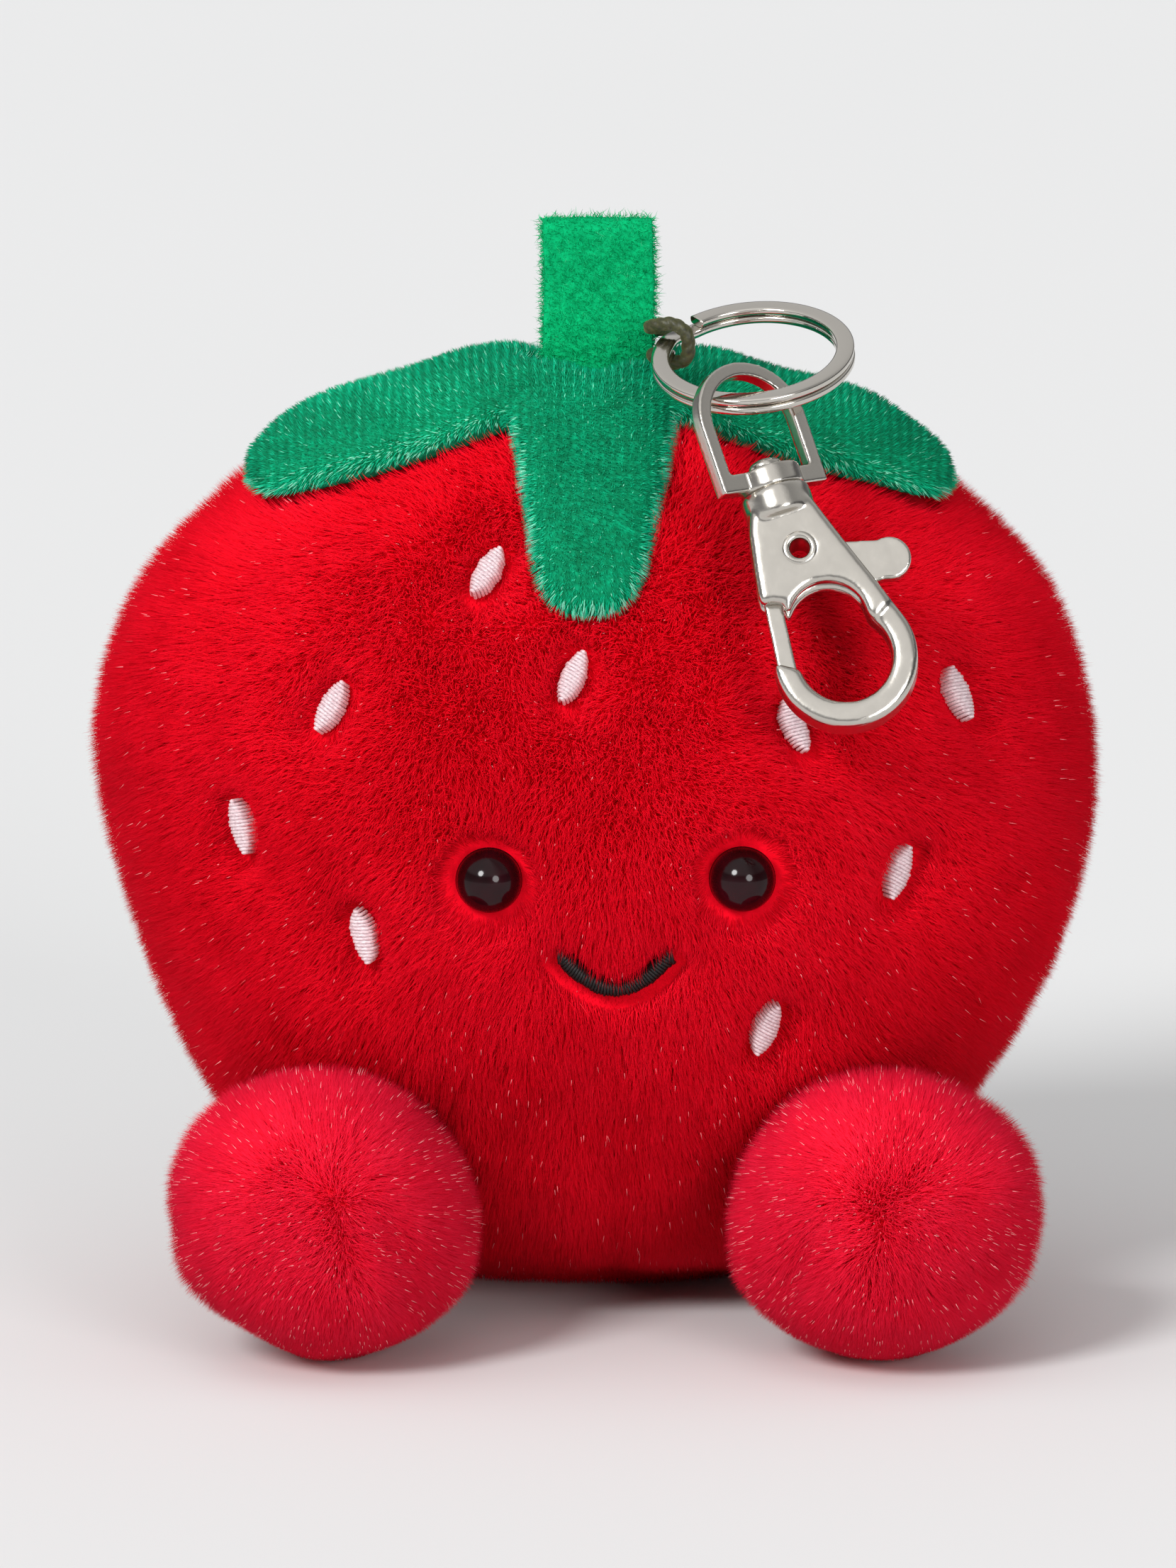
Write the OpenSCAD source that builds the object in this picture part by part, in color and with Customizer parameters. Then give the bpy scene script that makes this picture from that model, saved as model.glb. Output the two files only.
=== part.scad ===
// Plush strawberry keychain: a stuffed, bean-weighted body on two round feet,
// a padded calyx with a folded felt stem, and a corded split ring that carries
// a swivel trigger clasp.  Millimetres, +Z up, face towards -Y.  The origin lies
// on the resting plane under the middle of the bounding box.

/* [Body] */
// Height of the body's skin at the crown
body_h = 91; // [86:1:96]
// Half of the body's greatest width, without the pile
body_half_w = 45.7; // [42:0.1:48]
// How square a level section is: 2 is an ellipse
body_squareness = 2.3; // [2:0.1:2.8]
// Thickness of the pile fabric's backing
skin_t = 1.2; // [0.8:0.1:1.6]

/* [Feet] */
// Half width, half depth and half height of a foot
foot_radii = [12.2, 14.8, 12.9]; // [11:0.1:14]
// Distance of the left foot's middle from the centre plane
left_foot_x = -26.2; // [-28:0.1:-24]
// Distance of the right foot's middle from the centre plane
right_foot_x = 28.2; // [24:0.1:30]

/* [Face] */
// Height of the eyes
eye_z = 47.4; // [44:0.1:52]
// Diameter of the domed eyes
eye_d = 6.4; // [5:0.1:8]
// Sideways place of the left eye
left_eye_x = -10.2; // [-14:0.1:-8]
// Sideways place of the right eye
right_eye_x = 14.6; // [8:0.1:16]
// Width of the smile from corner to corner
mouth_w = 11.1; // [8:0.1:13]
// How far the smile sags below its corners
mouth_drop = 3.7; // [2:0.1:5]

/* [Leaves] */
// Thickness of a padded leaf at its middle
leaf_t = 3.8; // [3:0.1:4.4]

/* [Stem] */
// Width of the felt tab
stem_w = 10.8; // [8:0.1:12]
// Height of the felt tab's fold
stem_top = 108.2; // [104:0.1:112]
// Thickness of the felt
felt_t = 1.2; // [0.8:0.1:1.4]

/* [Ring] */
// Outer diameter of the split ring
ring_d = 20; // [19:0.1:21]
// Radial width of the ring's wire
ring_wire_w = 1.8; // [1.4:0.1:2]
// Thickness of one turn of the wire
ring_wire_t = 0.88; // [0.7:0.01:0.9]
// How far the ring's front edge dips from level
ring_dip = 19; // [14:1:22]
// How far the ring's cord side hangs below its far side
ring_roll = 5; // [0:1:8]

/* [Clasp] */
// How far the clasp leans sideways from upright
clasp_lean = 20; // [15:0.5:20]
// How far the clasp's lower end stands forward
clasp_tilt = 24.5; // [24:0.5:27]
// How far the bail is turned on the clasp's axis
bail_turn = 40; // [38:1:50]
// How far the hook is turned on the clasp's axis
hook_turn = 8; // [0:1:12]
// Outer radius of the bail's arch
bail_r = 6.2; // [6:0.1:6.4]
// Diameter of the swivel post's shank
post_d = 2; // [1.8:0.1:2.2]
// Radial clearance of the swivel post and the gate's pivot
run_clearance = 0.05; // [0.02:0.01:0.08]
// Thickness of the gate plate
gate_t = 1.8; // [1.6:0.1:2]
// Outer diameter of the hollow rivet's shank
rivet_d = 2.5; // [2.3:0.1:2.6]
// Diameter of the hole through the rivet
rivet_hole_d = 1.9; // [1.7:0.1:1.9]

/* [Hidden] */

// Levels of the body: height, half width, front edge and back edge.
levels = [
    [0, 13, 15, 27],
    [2, 18, 10, 29.5],
    [6, 23, 2, 31.5],
    [12, 28, -7, 33.2],
    [22, 35, -15.5, 34.8],
    [34, 41, -19.5, 35.1],
    [46, 44.5, -20, 34.6],
    [58, body_half_w, -17.8, 33.3],
    [70, 42.5, -13, 30.6],
    [79, 34.5, -7.5, 26],
    [86, 23.5, -1, 20],
    [89.5, 14, 3.5, 15.5],
    [body_h, 8.2, 5.5, 14]];
last_level = len(levels) - 1;
rings_per_level = 2;
around = 48;                        // facets round a level section
base_levels = 1;                    // the base panel reaches up to this level
gap = 0.3;                          // air between neighbouring cloth pieces
foot_y = -21.3;
foot_z = 12.7;
pouch_top_level = 3.4;
filling_bottom_level = 3.5;

// Leaves: direction round the crown in degrees, length over the body and half width.
leaves = [[-10, 36.8, 7.4], [-92, 30, 8], [-168, 36.3, 7.4], [128, 34, 7], [52, 34, 7]];
crown = [0.4, 10];                  // middle of the calyx in plan
calyx_slit = [7.4, 3.9];            // half axes of the slit round the stem
calyx_spokes = 96;
calyx_rounds = 7;
walk_step = 2;
leaf_lift = 0.5;                    // underside's height over the pile fabric

// Seeds on the front: x, z and lean in degrees.
front_seeds = [[-10.4, 76, -28], [-25.6, 63.3, -24], [-34.3, 51.3, 18], [-22.4, 41.5, 12],
    [-2, 66.6, -24], [19.7, 61.8, 20], [35.7, 63.7, 10], [29.8, 47.3, -22], [16.9, 32.3, -20]];
back_seeds = [[-31, 62, 20], [-11, 60, -16], [11, 62, 18], [31, 58, -22], [-34, 44, -14],
    [-14, 48, 20], [6, 46, -20], [26, 40, 16], [-22, 30, 18], [2, 26, -16], [22, 22, 20]];
seed_l = 5.4;
seed_w = 1.9;
seed_t = 0.9;

mouth_x = 2.2;
mouth_z = 40.4;

ring_centre = [15.7, -5, 96.7];
ring_mean_r = ring_d / 2 - ring_wire_w / 2;
ring_pitch = ring_wire_t + 0.04;
ring_jog = 30;                      // degrees over which the wire changes turns
ring_end_angle = 128;               // where the wire's cut end lies
bail_on_ring = -98;                 // where the bail hangs on the ring
cord_on_ring = 152;                 // where the cord holds the ring

// The cord's loop: out of the crown behind the stem, round the ring, and back.
cord_d = 1.4;
cord_sides = 8;
cord_points = [[2, 11.3, 85.5], [2.2, 11.3, 90], [2.8, 11.9, 93.5], [4.8, 12, 95.9],
    [6.8, 10.6, 96.8], [7.2, 7.4, 97.4], [6.6, 3.6, 98.2], [5.6, 0.4, 98.8], [6.6, -0.9, 99.3],
    [7.9, -1.45, 99.4], [9.05, -1.9, 98.7], [9.35, -1.85, 97.4], [9.15, -1.6, 96.1],
    [8.2, -0.9, 95.5], [7, -0.2, 95.4], [5.9, 0.8, 95.9], [6.3, 3.6, 95.5], [7.1, 7.4, 95.2],
    [6.9, 10.2, 94.6], [5.4, 11.8, 93.2], [4.3, 11.4, 90.5], [4, 11.3, 85.5]];
cord_steps = 3;

hang = 0.6;                            // the clasp frame's height over the ring's wire
bail_w = 1.4;                       // width of the bail's strip
bail_depth = 1.7;                   // depth of the bail's strip
bail_top = 3.5;                     // top of the bail in the clasp frame
bail_foot = -10;                    // underside of the bail's collar
collar_r = 3.2;
collar_h = 2.1;
barrel_top = -10.15;
barrel_r = 3.25;
pivot = [0.46, -16.8];              // the gate's pivot in the hook's plane
hook_centre = [1.35, -28.45];
hook_inner_r = 4.75;
hook_outer_r = 6.85;
hook_t = 3.6;
shell_t = 4.4;
channel_t = gate_t + 0.3;

function mix(a, b, t) = a + (b - a) * t;
function smooth(t) = t * t * (3 - 2 * t);
function sgn_pow(v, p) = sign(v) * pow(abs(v), p);

// Cubic through the points p at the fractional index t.
function spline_at(p, t) =
    let (i = min(floor(t), len(p) - 2),
        f = t - i,
        a = p[max(i - 1, 0)],
        b = p[i],
        c = p[i + 1],
        d = p[min(i + 2, len(p) - 1)])
    0.5 * (2 * b + (c - a) * f + (2 * a - 5 * b + 4 * c - d) * f * f
        + (3 * b - a - 3 * c + d) * f * f * f);

// One point of the body's surface, let in by inset.
function body_point(t, angle, inset) =
    let (l = spline_at(levels, t),
        half_w = l[1] - inset,
        half_d = (l[3] - l[2]) / 2 - inset,
        mid_y = (l[3] + l[2]) / 2,
        e = 2 / body_squareness)
    [half_w * sgn_pow(cos(angle), e),
        mid_y + half_d * sgn_pow(sin(angle), e),
        l[0]];

// Level index of a height on the body, by halving.
function level_of(z, low = 0, high = last_level, n = 18) =
    n == 0 ? (low + high) / 2 :
    let (m = (low + high) / 2)
    spline_at(levels, m)[0] < z ? level_of(z, m, high, n - 1) : level_of(z, low, m, n - 1);

// Front (side -1) or back (side 1) surface of the body over x and z.
function face_y(x, z, side) =
    let (l = spline_at(levels, level_of(z)),
        half_d = (l[3] - l[2]) / 2,
        share = 1 - pow(min(abs(x) / l[1], 1), body_squareness))
    (l[3] + l[2]) / 2 + side * half_d * pow(share, 1 / body_squareness);

// Level index of the body's upper surface over x and y, by halving.
function crown_level(x, y, low = 5, high = last_level, n = 16) =
    n == 0 ? (low + high) / 2 :
    let (m = (low + high) / 2,
        l = spline_at(levels, m),
        half_d = (l[3] - l[2]) / 2,
        mid_y = (l[3] + l[2]) / 2,
        reach = pow(abs(x) / l[1], body_squareness)
            + pow(abs(y - mid_y) / half_d, body_squareness))
    reach < 1 ? crown_level(x, y, m, high, n - 1) : crown_level(x, y, low, m, n - 1);
function crown_z(x, y) = spline_at(levels, crown_level(x, y))[0];

// Unit normal of the crown over x and y.
function crown_normal(x, y) =
    let (step = 1,
        dx = (crown_z(x + step, y) - crown_z(x - step, y)) / (2 * step),
        dy = (crown_z(x, y + step) - crown_z(x, y - step)) / (2 * step),
        n = [-dx, -dy, 1])
    n / norm(n);

// Triangles between rows of a grid whose rows run over `across` points.
function strip(row_a, row_b, across, closed) =
    [for (i = [0:across - (closed ? 1 : 2)])
        let (j = (i + 1) % across)
        each [[row_a + i, row_b + i, row_b + j], [row_a + i, row_b + j, row_a + j]]];

// A solid through rows of points.  Each row is a closed loop that turns anticlockwise
// about the way the rows advance; flat faces cap both ends.
module capped_loft(rows) {
    across = len(rows[0]);
    points = [for (row = rows) each row];
    last = (len(rows) - 1) * across;
    sides = [for (r = [0:len(rows) - 2]) each strip(r * across, (r + 1) * across, across, true)];
    start_cap = [[for (i = [0:across - 1]) i]];
    end_cap = [[for (i = [across - 1:-1:0]) last + i]];
    polyhedron(points, concat(sides, start_cap, end_cap), convexity = 6);
}

// The same between two ends that aren't flat: each row runs out along one side of a
// shell and back along the other, and the caps are ladders between the two.
module shell_loft(rows) {
    across = len(rows[0]);
    half = across / 2;
    points = [for (row = rows) each row];
    last = (len(rows) - 1) * across;
    sides = [for (r = [0:len(rows) - 2]) each strip(r * across, (r + 1) * across, across, true)];
    ladder = [for (i = [0:half - 2])
        each [[i, i + 1, across - 2 - i], [i, across - 2 - i, across - 1 - i]]];
    end_ladder = [for (face = ladder) [for (i = [2:-1:0]) last + face[i]]];
    polyhedron(points, concat(sides, ladder, end_ladder), convexity = 6);
}

// A ring of lofted sections whose last row meets its first.
module closed_loft(rows) {
    across = len(rows[0]);
    points = [for (row = rows) each row];
    sides = [for (r = [0:len(rows) - 1])
        each strip(r * across, ((r + 1) % len(rows)) * across, across, true)];
    polyhedron(points, sides, convexity = 6);
}

// One cloth panel of the body between two angles and two level indices.
module body_panel(from_angle, to_angle, from_level, to_level) {
    rows = (to_level - from_level) * rings_per_level;
    spans = around / 2;
    function at(r, inset) = mix(from_level, to_level, r / rows);
    sections = [for (i = [0:spans])
        let (angle = mix(from_angle, to_angle, i / spans))
        concat(
            [for (r = [rows:-1:0]) body_point(at(r), angle, 0)],
            [for (r = [0:rows]) body_point(at(r), angle, skin_t)])];
    shell_loft(sections);
}

// A solid slice of the body's inside between two level indices.
module body_slice(from_level, to_level, rows, inset) {
    capped_loft([for (r = [0:rows])
        [for (i = [0:around - 1])
            body_point(mix(from_level, to_level, r / rows), 360 * i / around, inset)]]);
}

// A rounded ball with a flat sole on the resting plane.
module foot_ball(centre, radii, sole_z) {
    rows = 12;
    spokes = 28;
    lowest = asin((sole_z - centre[2]) / radii[2]);
    highest = 82;
    capped_loft([for (r = [0:rows])
        let (up = mix(lowest, highest, r / rows))
        [for (i = [0:spokes - 1])
            let (a = 360 * i / spokes)
            [centre[0] + radii[0] * cos(up) * cos(a),
                centre[1] + radii[1] * cos(up) * sin(a),
                centre[2] + radii[2] * sin(up)]]]);
}

module foot_skin(x) {
    difference() {
        foot_ball([x, foot_y, foot_z], foot_radii, 0);
        foot_ball([x, foot_y, foot_z], foot_radii - [skin_t, skin_t, skin_t], skin_t);
    }
}

module foot_filling(x) {
    inset = skin_t + gap;
    foot_ball([x, foot_y, foot_z], foot_radii - [inset, inset, inset], inset);
}

// Reach of one leaf at an angle off its own direction.
function leaf_reach(off, length, half_w) =
    abs(off) >= 90 ? 0 :
    pow(pow(cos(off) / length, 3) + pow(abs(sin(off)) / half_w, 3), -1 / 3);
function turn_between(a, b) = ((a - b + 540) % 360) - 180;
function calyx_reach(a) =
    max([for (l = leaves) leaf_reach(turn_between(a, l[0]), l[1], l[2])]);

// Distance from the crown's middle to the slit's edge at a spoke's angle.
function slit_r(a) = calyx_slit[0] * calyx_slit[1]
    / sqrt(pow(calyx_slit[1] * cos(a), 2) + pow(calyx_slit[0] * sin(a), 2));
function spoke_z(a, r) = crown_z(crown[0] + r * cos(a), crown[1] + r * sin(a));

// Plan distances reached by walking over the body along a spoke in equal steps.
function spoke_walk(a) =
    let (steps = ceil((calyx_reach(a) - slit_r(a)) / walk_step) + 1)
    [for (k = 0, r = slit_r(a), slope = 0; k <= steps;
        slope = (spoke_z(a, r + 0.5) - spoke_z(a, r - 0.5)),
        r = r + walk_step / sqrt(1 + slope * slope),
        k = k + 1) r];

// A point of the calyx: spoke angle, its walk, share of the way out, height over the crown.
function calyx_point(a, walk, share, lift) =
    let (out = share * (calyx_reach(a) - slit_r(a)) / walk_step,
        k = floor(out),
        r = mix(walk[k], walk[k + 1], out - k),
        x = crown[0] + r * cos(a),
        y = crown[1] + r * sin(a))
    [x, y, crown_z(x, y)] + crown_normal(x, y) * lift;
// Puffed height of the padding: full in the middle, thin at the edges.
function puff(share) = pow(1 - pow(abs(2 * share - 1), 4), 0.5);

// A layer of the calyx between two heights at its middle and at its edges.
module calyx_layer(low_mid, high_mid, low_edge, high_edge) {
    closed_loft([for (i = [0:calyx_spokes - 1])
        let (a = 360 * i / calyx_spokes,
            walk = spoke_walk(a))
        concat(
            [for (r = [0:calyx_rounds])
                let (s = 0.5 - 0.5 * cos(180 * r / calyx_rounds))
                calyx_point(a, walk, s, mix(high_edge, high_mid, puff(s)))],
            [for (r = [calyx_rounds:-1:0])
                let (s = 0.5 - 0.5 * cos(180 * r / calyx_rounds))
                calyx_point(a, walk, s, mix(low_edge, low_mid, puff(s)))])]);
}

// A swept round tube along a list of points.
module cord_tube(route, d, sides) {
    n = len(route);
    ahead = [for (i = [0:n - 1])
        let (v = route[min(i + 1, n - 1)] - route[max(i - 1, 0)])
        v / norm(v)];
    // Each section's first side is carried on from the one before, so the tube never twists.
    function carried(i) =
        let (u = i == 0 ? [1, 0, 0] : carried(i - 1),
            v = u - (u * ahead[i]) * ahead[i])
        v / norm(v);
    capped_loft([for (i = [0:n - 1])
        let (u = carried(i),
            v = cross(ahead[i], u))
        [for (k = [0:sides - 1])
            route[i] + (d / 2) * (u * cos(360 * k / sides) + v * sin(360 * k / sides))]]);
}

// A flat-topped satin stitch bar lying on the body's face.
module stitch_bar(x, z, lean, side, length, width, thick) {
    step = 2;
    y = face_y(x, z, side);
    slope_z = (face_y(x, z + step, side) - face_y(x, z - step, side)) / (2 * step);
    slope_x = (face_y(x + step, z, side) - face_y(x - step, z, side)) / (2 * step);
    turn_x = -atan(slope_z);
    turn_z = atan(slope_x);
    translate([x, y, z])
        rotate([turn_x, 0, turn_z])
        rotate([-90 * side, 0, 0])
        translate([0, 0, 0.35])
        rotate([0, 0, lean])
        linear_extrude(thick)
        union() {
            square([width, length - width], center = true);
            for (end = [-1, 1])
                translate([0, end * (length - width) / 2])
                circle(d = width, $fn = 24);
        }
}

module front_panel() {
    color([0.78, 0.02, 0.1])
        body_panel(180.2, 359.8, base_levels, last_level);
}

module back_panel() {
    color([0.74, 0.02, 0.09])
        body_panel(0.2, 179.8, base_levels, last_level);
}

module base_panel() {
    color([0.7, 0.02, 0.09])
        body_slice(0, base_levels - 0.06, 3, 0);
}

module body_filling() {
    color([0.95, 0.95, 0.94])
        body_slice(filling_bottom_level, last_level - 1.1, 16, skin_t + gap);
}

module bead_pouch() {
    color([0.9, 0.9, 0.86])
        body_slice(base_levels + 0.06, pouch_top_level, 6, skin_t + gap + 0.3);
}

module left_foot_skin() {
    color([0.86, 0.08, 0.17]) foot_skin(left_foot_x);
}

module right_foot_skin() {
    color([0.86, 0.08, 0.17]) foot_skin(right_foot_x);
}

module left_foot_filling() {
    color([0.95, 0.95, 0.94]) foot_filling(left_foot_x);
}

module right_foot_filling() {
    color([0.95, 0.95, 0.94]) foot_filling(right_foot_x);
}

module calyx_underside() {
    color([0, 0.5, 0.28])
        calyx_layer(leaf_lift, leaf_lift + 0.5, leaf_lift + 0.2, leaf_lift + 0.7);
}

module calyx_wadding() {
    color([0.95, 0.95, 0.94])
        calyx_layer(leaf_lift + 0.6, leaf_lift + leaf_t - 0.7, leaf_lift + 0.8, leaf_lift + 0.95);
}

module calyx_top() {
    color([0, 0.57, 0.33])
        calyx_layer(leaf_lift + leaf_t - 0.6, leaf_lift + leaf_t,
            leaf_lift + 1.05, leaf_lift + 1.65);
}

// A folded strip of felt: two plies joined by a round fold, tails sewn into the crown.
module stem_tab() {
    mid_y = 9;
    ply_gap = 0.3;
    tail_z = 87;
    fold_r = felt_t + ply_gap / 2;
    color([0.1, 0.62, 0.33])
        translate([0.4 - stem_w / 2, mid_y, 0])
        rotate([90, 0, 90])
        linear_extrude(stem_w)
        difference() {
            union() {
                translate([-fold_r, tail_z]) square([2 * fold_r, stem_top - fold_r - tail_z]);
                translate([0, stem_top - fold_r]) circle(r = fold_r, $fn = 32);
            }
            translate([-ply_gap / 2, tail_z - 1])
                square([ply_gap, stem_top - fold_r - tail_z + 1]);
            translate([0, stem_top - fold_r]) circle(r = ply_gap / 2, $fn = 24);
        }
}

module ring_cord() {
    steps = (len(cord_points) - 1) * cord_steps;
    color([0.24, 0.24, 0.06])
        cord_tube([for (i = [0:steps]) spline_at(cord_points, i / cord_steps)],
            cord_d, cord_sides);
}

// The knot that stops the cord under the crown.
module cord_knot() {
    color([0.24, 0.24, 0.06])
        translate([3, 11.3, 83.2])
        rotate_extrude($fn = 32)
        intersection() {
            circle(d = 4.4, $fn = 32);
            translate([0, -2.2]) square([2.2, 4.4]);
        }
}

// A safety eye: a polished dome on a straight shank that passes through the cloth.
module eye(x) {
    y = face_y(x, eye_z, -1);
    color([0.05, 0.01, 0.02])
        translate([x, y - 0.3, eye_z])
        rotate([90, 0, 0])
        rotate_extrude($fn = 48)
        union() {
            intersection() {
                circle(d = eye_d, $fn = 64);
                square([eye_d, eye_d / 2]);
            }
            translate([0, -0.3]) square([eye_d / 2 - 0.3, 0.31]);
            translate([0, -6.5]) square([1.2, 6.6]);
        }
}

module left_eye() {
    eye(left_eye_x);
}

module right_eye() {
    eye(right_eye_x);
}

// The press-on washer that locks an eye's shank behind the cloth.
module eye_washer(x) {
    washer_back = 2.6;
    y = face_y(x, eye_z, -1);
    color([0.92, 0.92, 0.9])
        translate([x, y + skin_t + washer_back, eye_z])
        rotate([90, 0, 0])
        difference() {
            cylinder(d = 7.6, h = 1.1, $fn = 48);
            translate([0, 0, -1]) cylinder(d = 2.44, h = 4, $fn = 48);
        }
}

module left_eye_washer() {
    eye_washer(left_eye_x);
}

module right_eye_washer() {
    eye_washer(right_eye_x);
}

// The smile: a thread cord laid on the face as a hanging arc.
module mouth_stitching() {
    steps = 18;
    thread_d = 1.2;
    color([0.03, 0.03, 0.03])
        cord_tube([for (i = [0:steps])
            let (s = 2 * i / steps - 1,
                x = mouth_x + s * mouth_w / 2,
                z = mouth_z - mouth_drop * (1 - s * s))
            [x, face_y(x, z, -1) - 0.75, z]], thread_d, 8);
}

module seed_stitching_front() {
    color([0.97, 0.93, 0.93])
        for (s = front_seeds) stitch_bar(s[0], s[1], s[2], -1, seed_l, seed_w, seed_t);
}

module seed_stitching_back() {
    color([0.97, 0.93, 0.93])
        for (s = back_seeds) stitch_bar(s[0], s[1], s[2], 1, seed_l, seed_w, seed_t);
}

// Two turns of flat spring wire that change places over a short jog.
module split_ring() {
    turn_steps = 40;
    span = 720 - ring_jog - 2;
    steps = turn_steps * 2;
    corner = 0.2;
    half_w = ring_wire_w / 2;
    half_t = ring_wire_t / 2;
    section = [[-half_w, half_t - corner], [-half_w + corner, half_t],
        [half_w - corner, half_t], [half_w, half_t - corner],
        [half_w, -half_t + corner], [half_w - corner, -half_t],
        [-half_w + corner, -half_t], [-half_w, -half_t + corner]];
    first_end = 360 - ring_jog;
    color([0.8, 0.79, 0.76])
        translate(ring_centre)
        rotate([ring_dip, -ring_roll, 0])
        capped_loft([for (i = [0:steps])
            let (turned = span * i / steps,
                a = ring_end_angle + turned + ring_jog,
                climb = smooth(min(max((turned - first_end) / ring_jog, 0), 1)),
                z = (climb - 0.5) * ring_pitch)
            [for (p = section)
                [(ring_mean_r + p[0]) * cos(a), (ring_mean_r + p[0]) * sin(a), z + p[1]]]]);
}

// Place children in the clasp's own frame: its origin hangs just over the ring's wire,
// +Z points to the bail's arch and +X to the thumb tab.
module in_clasp(turn) {
    translate(ring_centre)
        rotate([ring_dip, -ring_roll, 0])
        rotate([0, 0, bail_on_ring])
        translate([ring_mean_r, 0, 0])
        rotate([0, 0, -bail_on_ring])
        rotate([-ring_dip, 0, 0])
        rotate([0, ring_roll, 0])
        rotate([-clasp_tilt, -clasp_lean, 0])
        rotate([0, 0, turn])
        translate([0, 0, hang])
        children();
}

// The D of the bail's outline, in its own plane.
module bail_outline(r) {
    translate([0, bail_top - bail_r]) circle(r = r, $fn = 64);
    translate([-r, bail_foot + 0.2]) square([2 * r, bail_top - bail_r - bail_foot - 0.2]);
}

module swivel_bail() {
    band_h = 1.9;
    color([0.8, 0.79, 0.76])
        in_clasp(bail_turn)
        difference() {
            union() {
                rotate([90, 0, 0])
                    linear_extrude(bail_depth, center = true)
                    difference() {
                        bail_outline(bail_r);
                        intersection() {
                            bail_outline(bail_r - bail_w);
                            translate([-bail_r, bail_foot + 0.2 + band_h]) square([2 * bail_r, 20]);
                        }
                    }
                translate([0, 0, bail_foot]) cylinder(r = collar_r, h = collar_h, $fn = 64);
            }
            translate([0, 0, bail_foot - 1])
                cylinder(d = post_d + 2 * run_clearance, h = collar_h + 2, $fn = 48);
        }
}

// The rivet that joins the bail to the hook: domed head in the bail, shank into the barrel.
module swivel_post() {
    head_r = 1.7;
    head_h = 1.1;
    head_z = bail_foot + collar_h + 0.08;
    color([0.82, 0.81, 0.78])
        in_clasp(hook_turn)
        union() {
            translate([0, 0, head_z])
                rotate_extrude($fn = 48)
                union() {
                    square([head_r, 0.4]);
                    intersection() {
                        translate([0, -0.95]) circle(r = 2.16, $fn = 64);
                        square([head_r, head_h + 0.2]);
                    }
                }
            translate([0, 0, barrel_top - 2.5])
                cylinder(d = post_d, h = head_z - barrel_top + 2.6, $fn = 48);
        }
}

// Outline of the hook's cast body above the eye of the hook.
module hook_shell_outline() {
    polygon([[-2.9, barrel_top - 1.9], [2.9, barrel_top - 1.9], [4.7, -17.4], [6.4, -22.2],
        [7.1, -24.5], [4.6, -26], [-4.0, -22], [-4.75, -20.6], [-4.5, -19], [-3.6, -14]]);
}

module hook_hole() {
    translate(hook_centre) circle(r = hook_inner_r, $fn = 96);
    translate([0.9, -24.4]) circle(r = 4.0, $fn = 96);
    polygon([[-3.4, -28.5], [-3.05, -24.6], [4.8, -24.6], [6.1, -28.5]]);
}

// The eye of the hook, with its hole open.
module hook_eye_outline() {
    difference() {
        union() {
            translate(hook_centre) circle(r = hook_outer_r, $fn = 96);
            polygon([[4.7, -17.4], [6.4, -22.2], [7.6, -25.6], [4, -27], [-4, -22], [0, -18]]);
        }
        hook_hole();
    }
}

module hook_body() {
    color([0.8, 0.79, 0.76])
        in_clasp(hook_turn)
        difference() {
            union() {
                translate([0, 0, barrel_top - 2.6]) cylinder(r = barrel_r, h = 2.6, $fn = 64);
                rotate([90, 0, 0])
                    linear_extrude(shell_t, center = true)
                    difference() {
                        hook_shell_outline();
                        hook_hole();
                    }
                rotate([90, 0, 0])
                    linear_extrude(hook_t, center = true)
                    hook_eye_outline();
            }
            // the gate's place in the hook's side
            rotate([90, 0, 0])
                linear_extrude(shell_t + 1, center = true)
                polygon([[-9, -20.9], [-3.6, -20.9], [-2.6, -21.4], [-2.6, -28.9],
                    [-9, -24.83]]);
            // the channel that the gate plate turns in
            rotate([90, 0, 0])
                linear_extrude(channel_t, center = true)
                polygon([[-1.9, -14], [9, -11.8], [9, -24.3], [5.5, -24.3], [3.6, -21.6],
                    [-2.2, -22.8], [-6, -23], [-6, -19.9], [-3, -17]]);
            translate([0, 0, barrel_top - 2.55])
                cylinder(d = post_d, h = 4, $fn = 48);
            translate([pivot[0], 0, pivot[1]])
                rotate([90, 0, 0])
                cylinder(d = rivet_d, h = 12, center = true, $fn = 48);
        }
}

// One flat rocker: thumb tab on the right, gate arm on the left.
module gate_lever() {
    tab_end = [8.6, -20.05];
    tab_r = 2.1;
    arm_t = gate_t - 0.2;           // the plate is thinner than its barrel
    tab_t = arm_t - 0.04;           // the thumb tab is ground down a little
    color([0.79, 0.78, 0.75])
        in_clasp(hook_turn)
        rotate([90, 0, 0])
        difference() {
            union() {
                translate(pivot) cylinder(r = 2.15, h = gate_t, center = true, $fn = 48);
                translate(tab_end) cylinder(r = tab_r, h = tab_t, center = true, $fn = 48);
                linear_extrude(arm_t, center = true)
                    polygon([[0.6, -15.1], [5, -17.2], [8.6, -18.2], [8.6, -21.9],
                        [6, -21.9], [0.2, -18.6]]);
                linear_extrude(arm_t, center = true)
                    polygon([[-1.1, -16.1], [2, -17.9], [-0.8, -19.6], [-2.9, -21.7],
                        [-3.55, -28.15], [-5.2, -27.1], [-4.45, -20.6], [-3.4, -18.2]]);
            }
            translate(pivot)
                cylinder(d = rivet_d + 2 * run_clearance, h = gate_t + 2, center = true, $fn = 48);
        }
}

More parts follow.
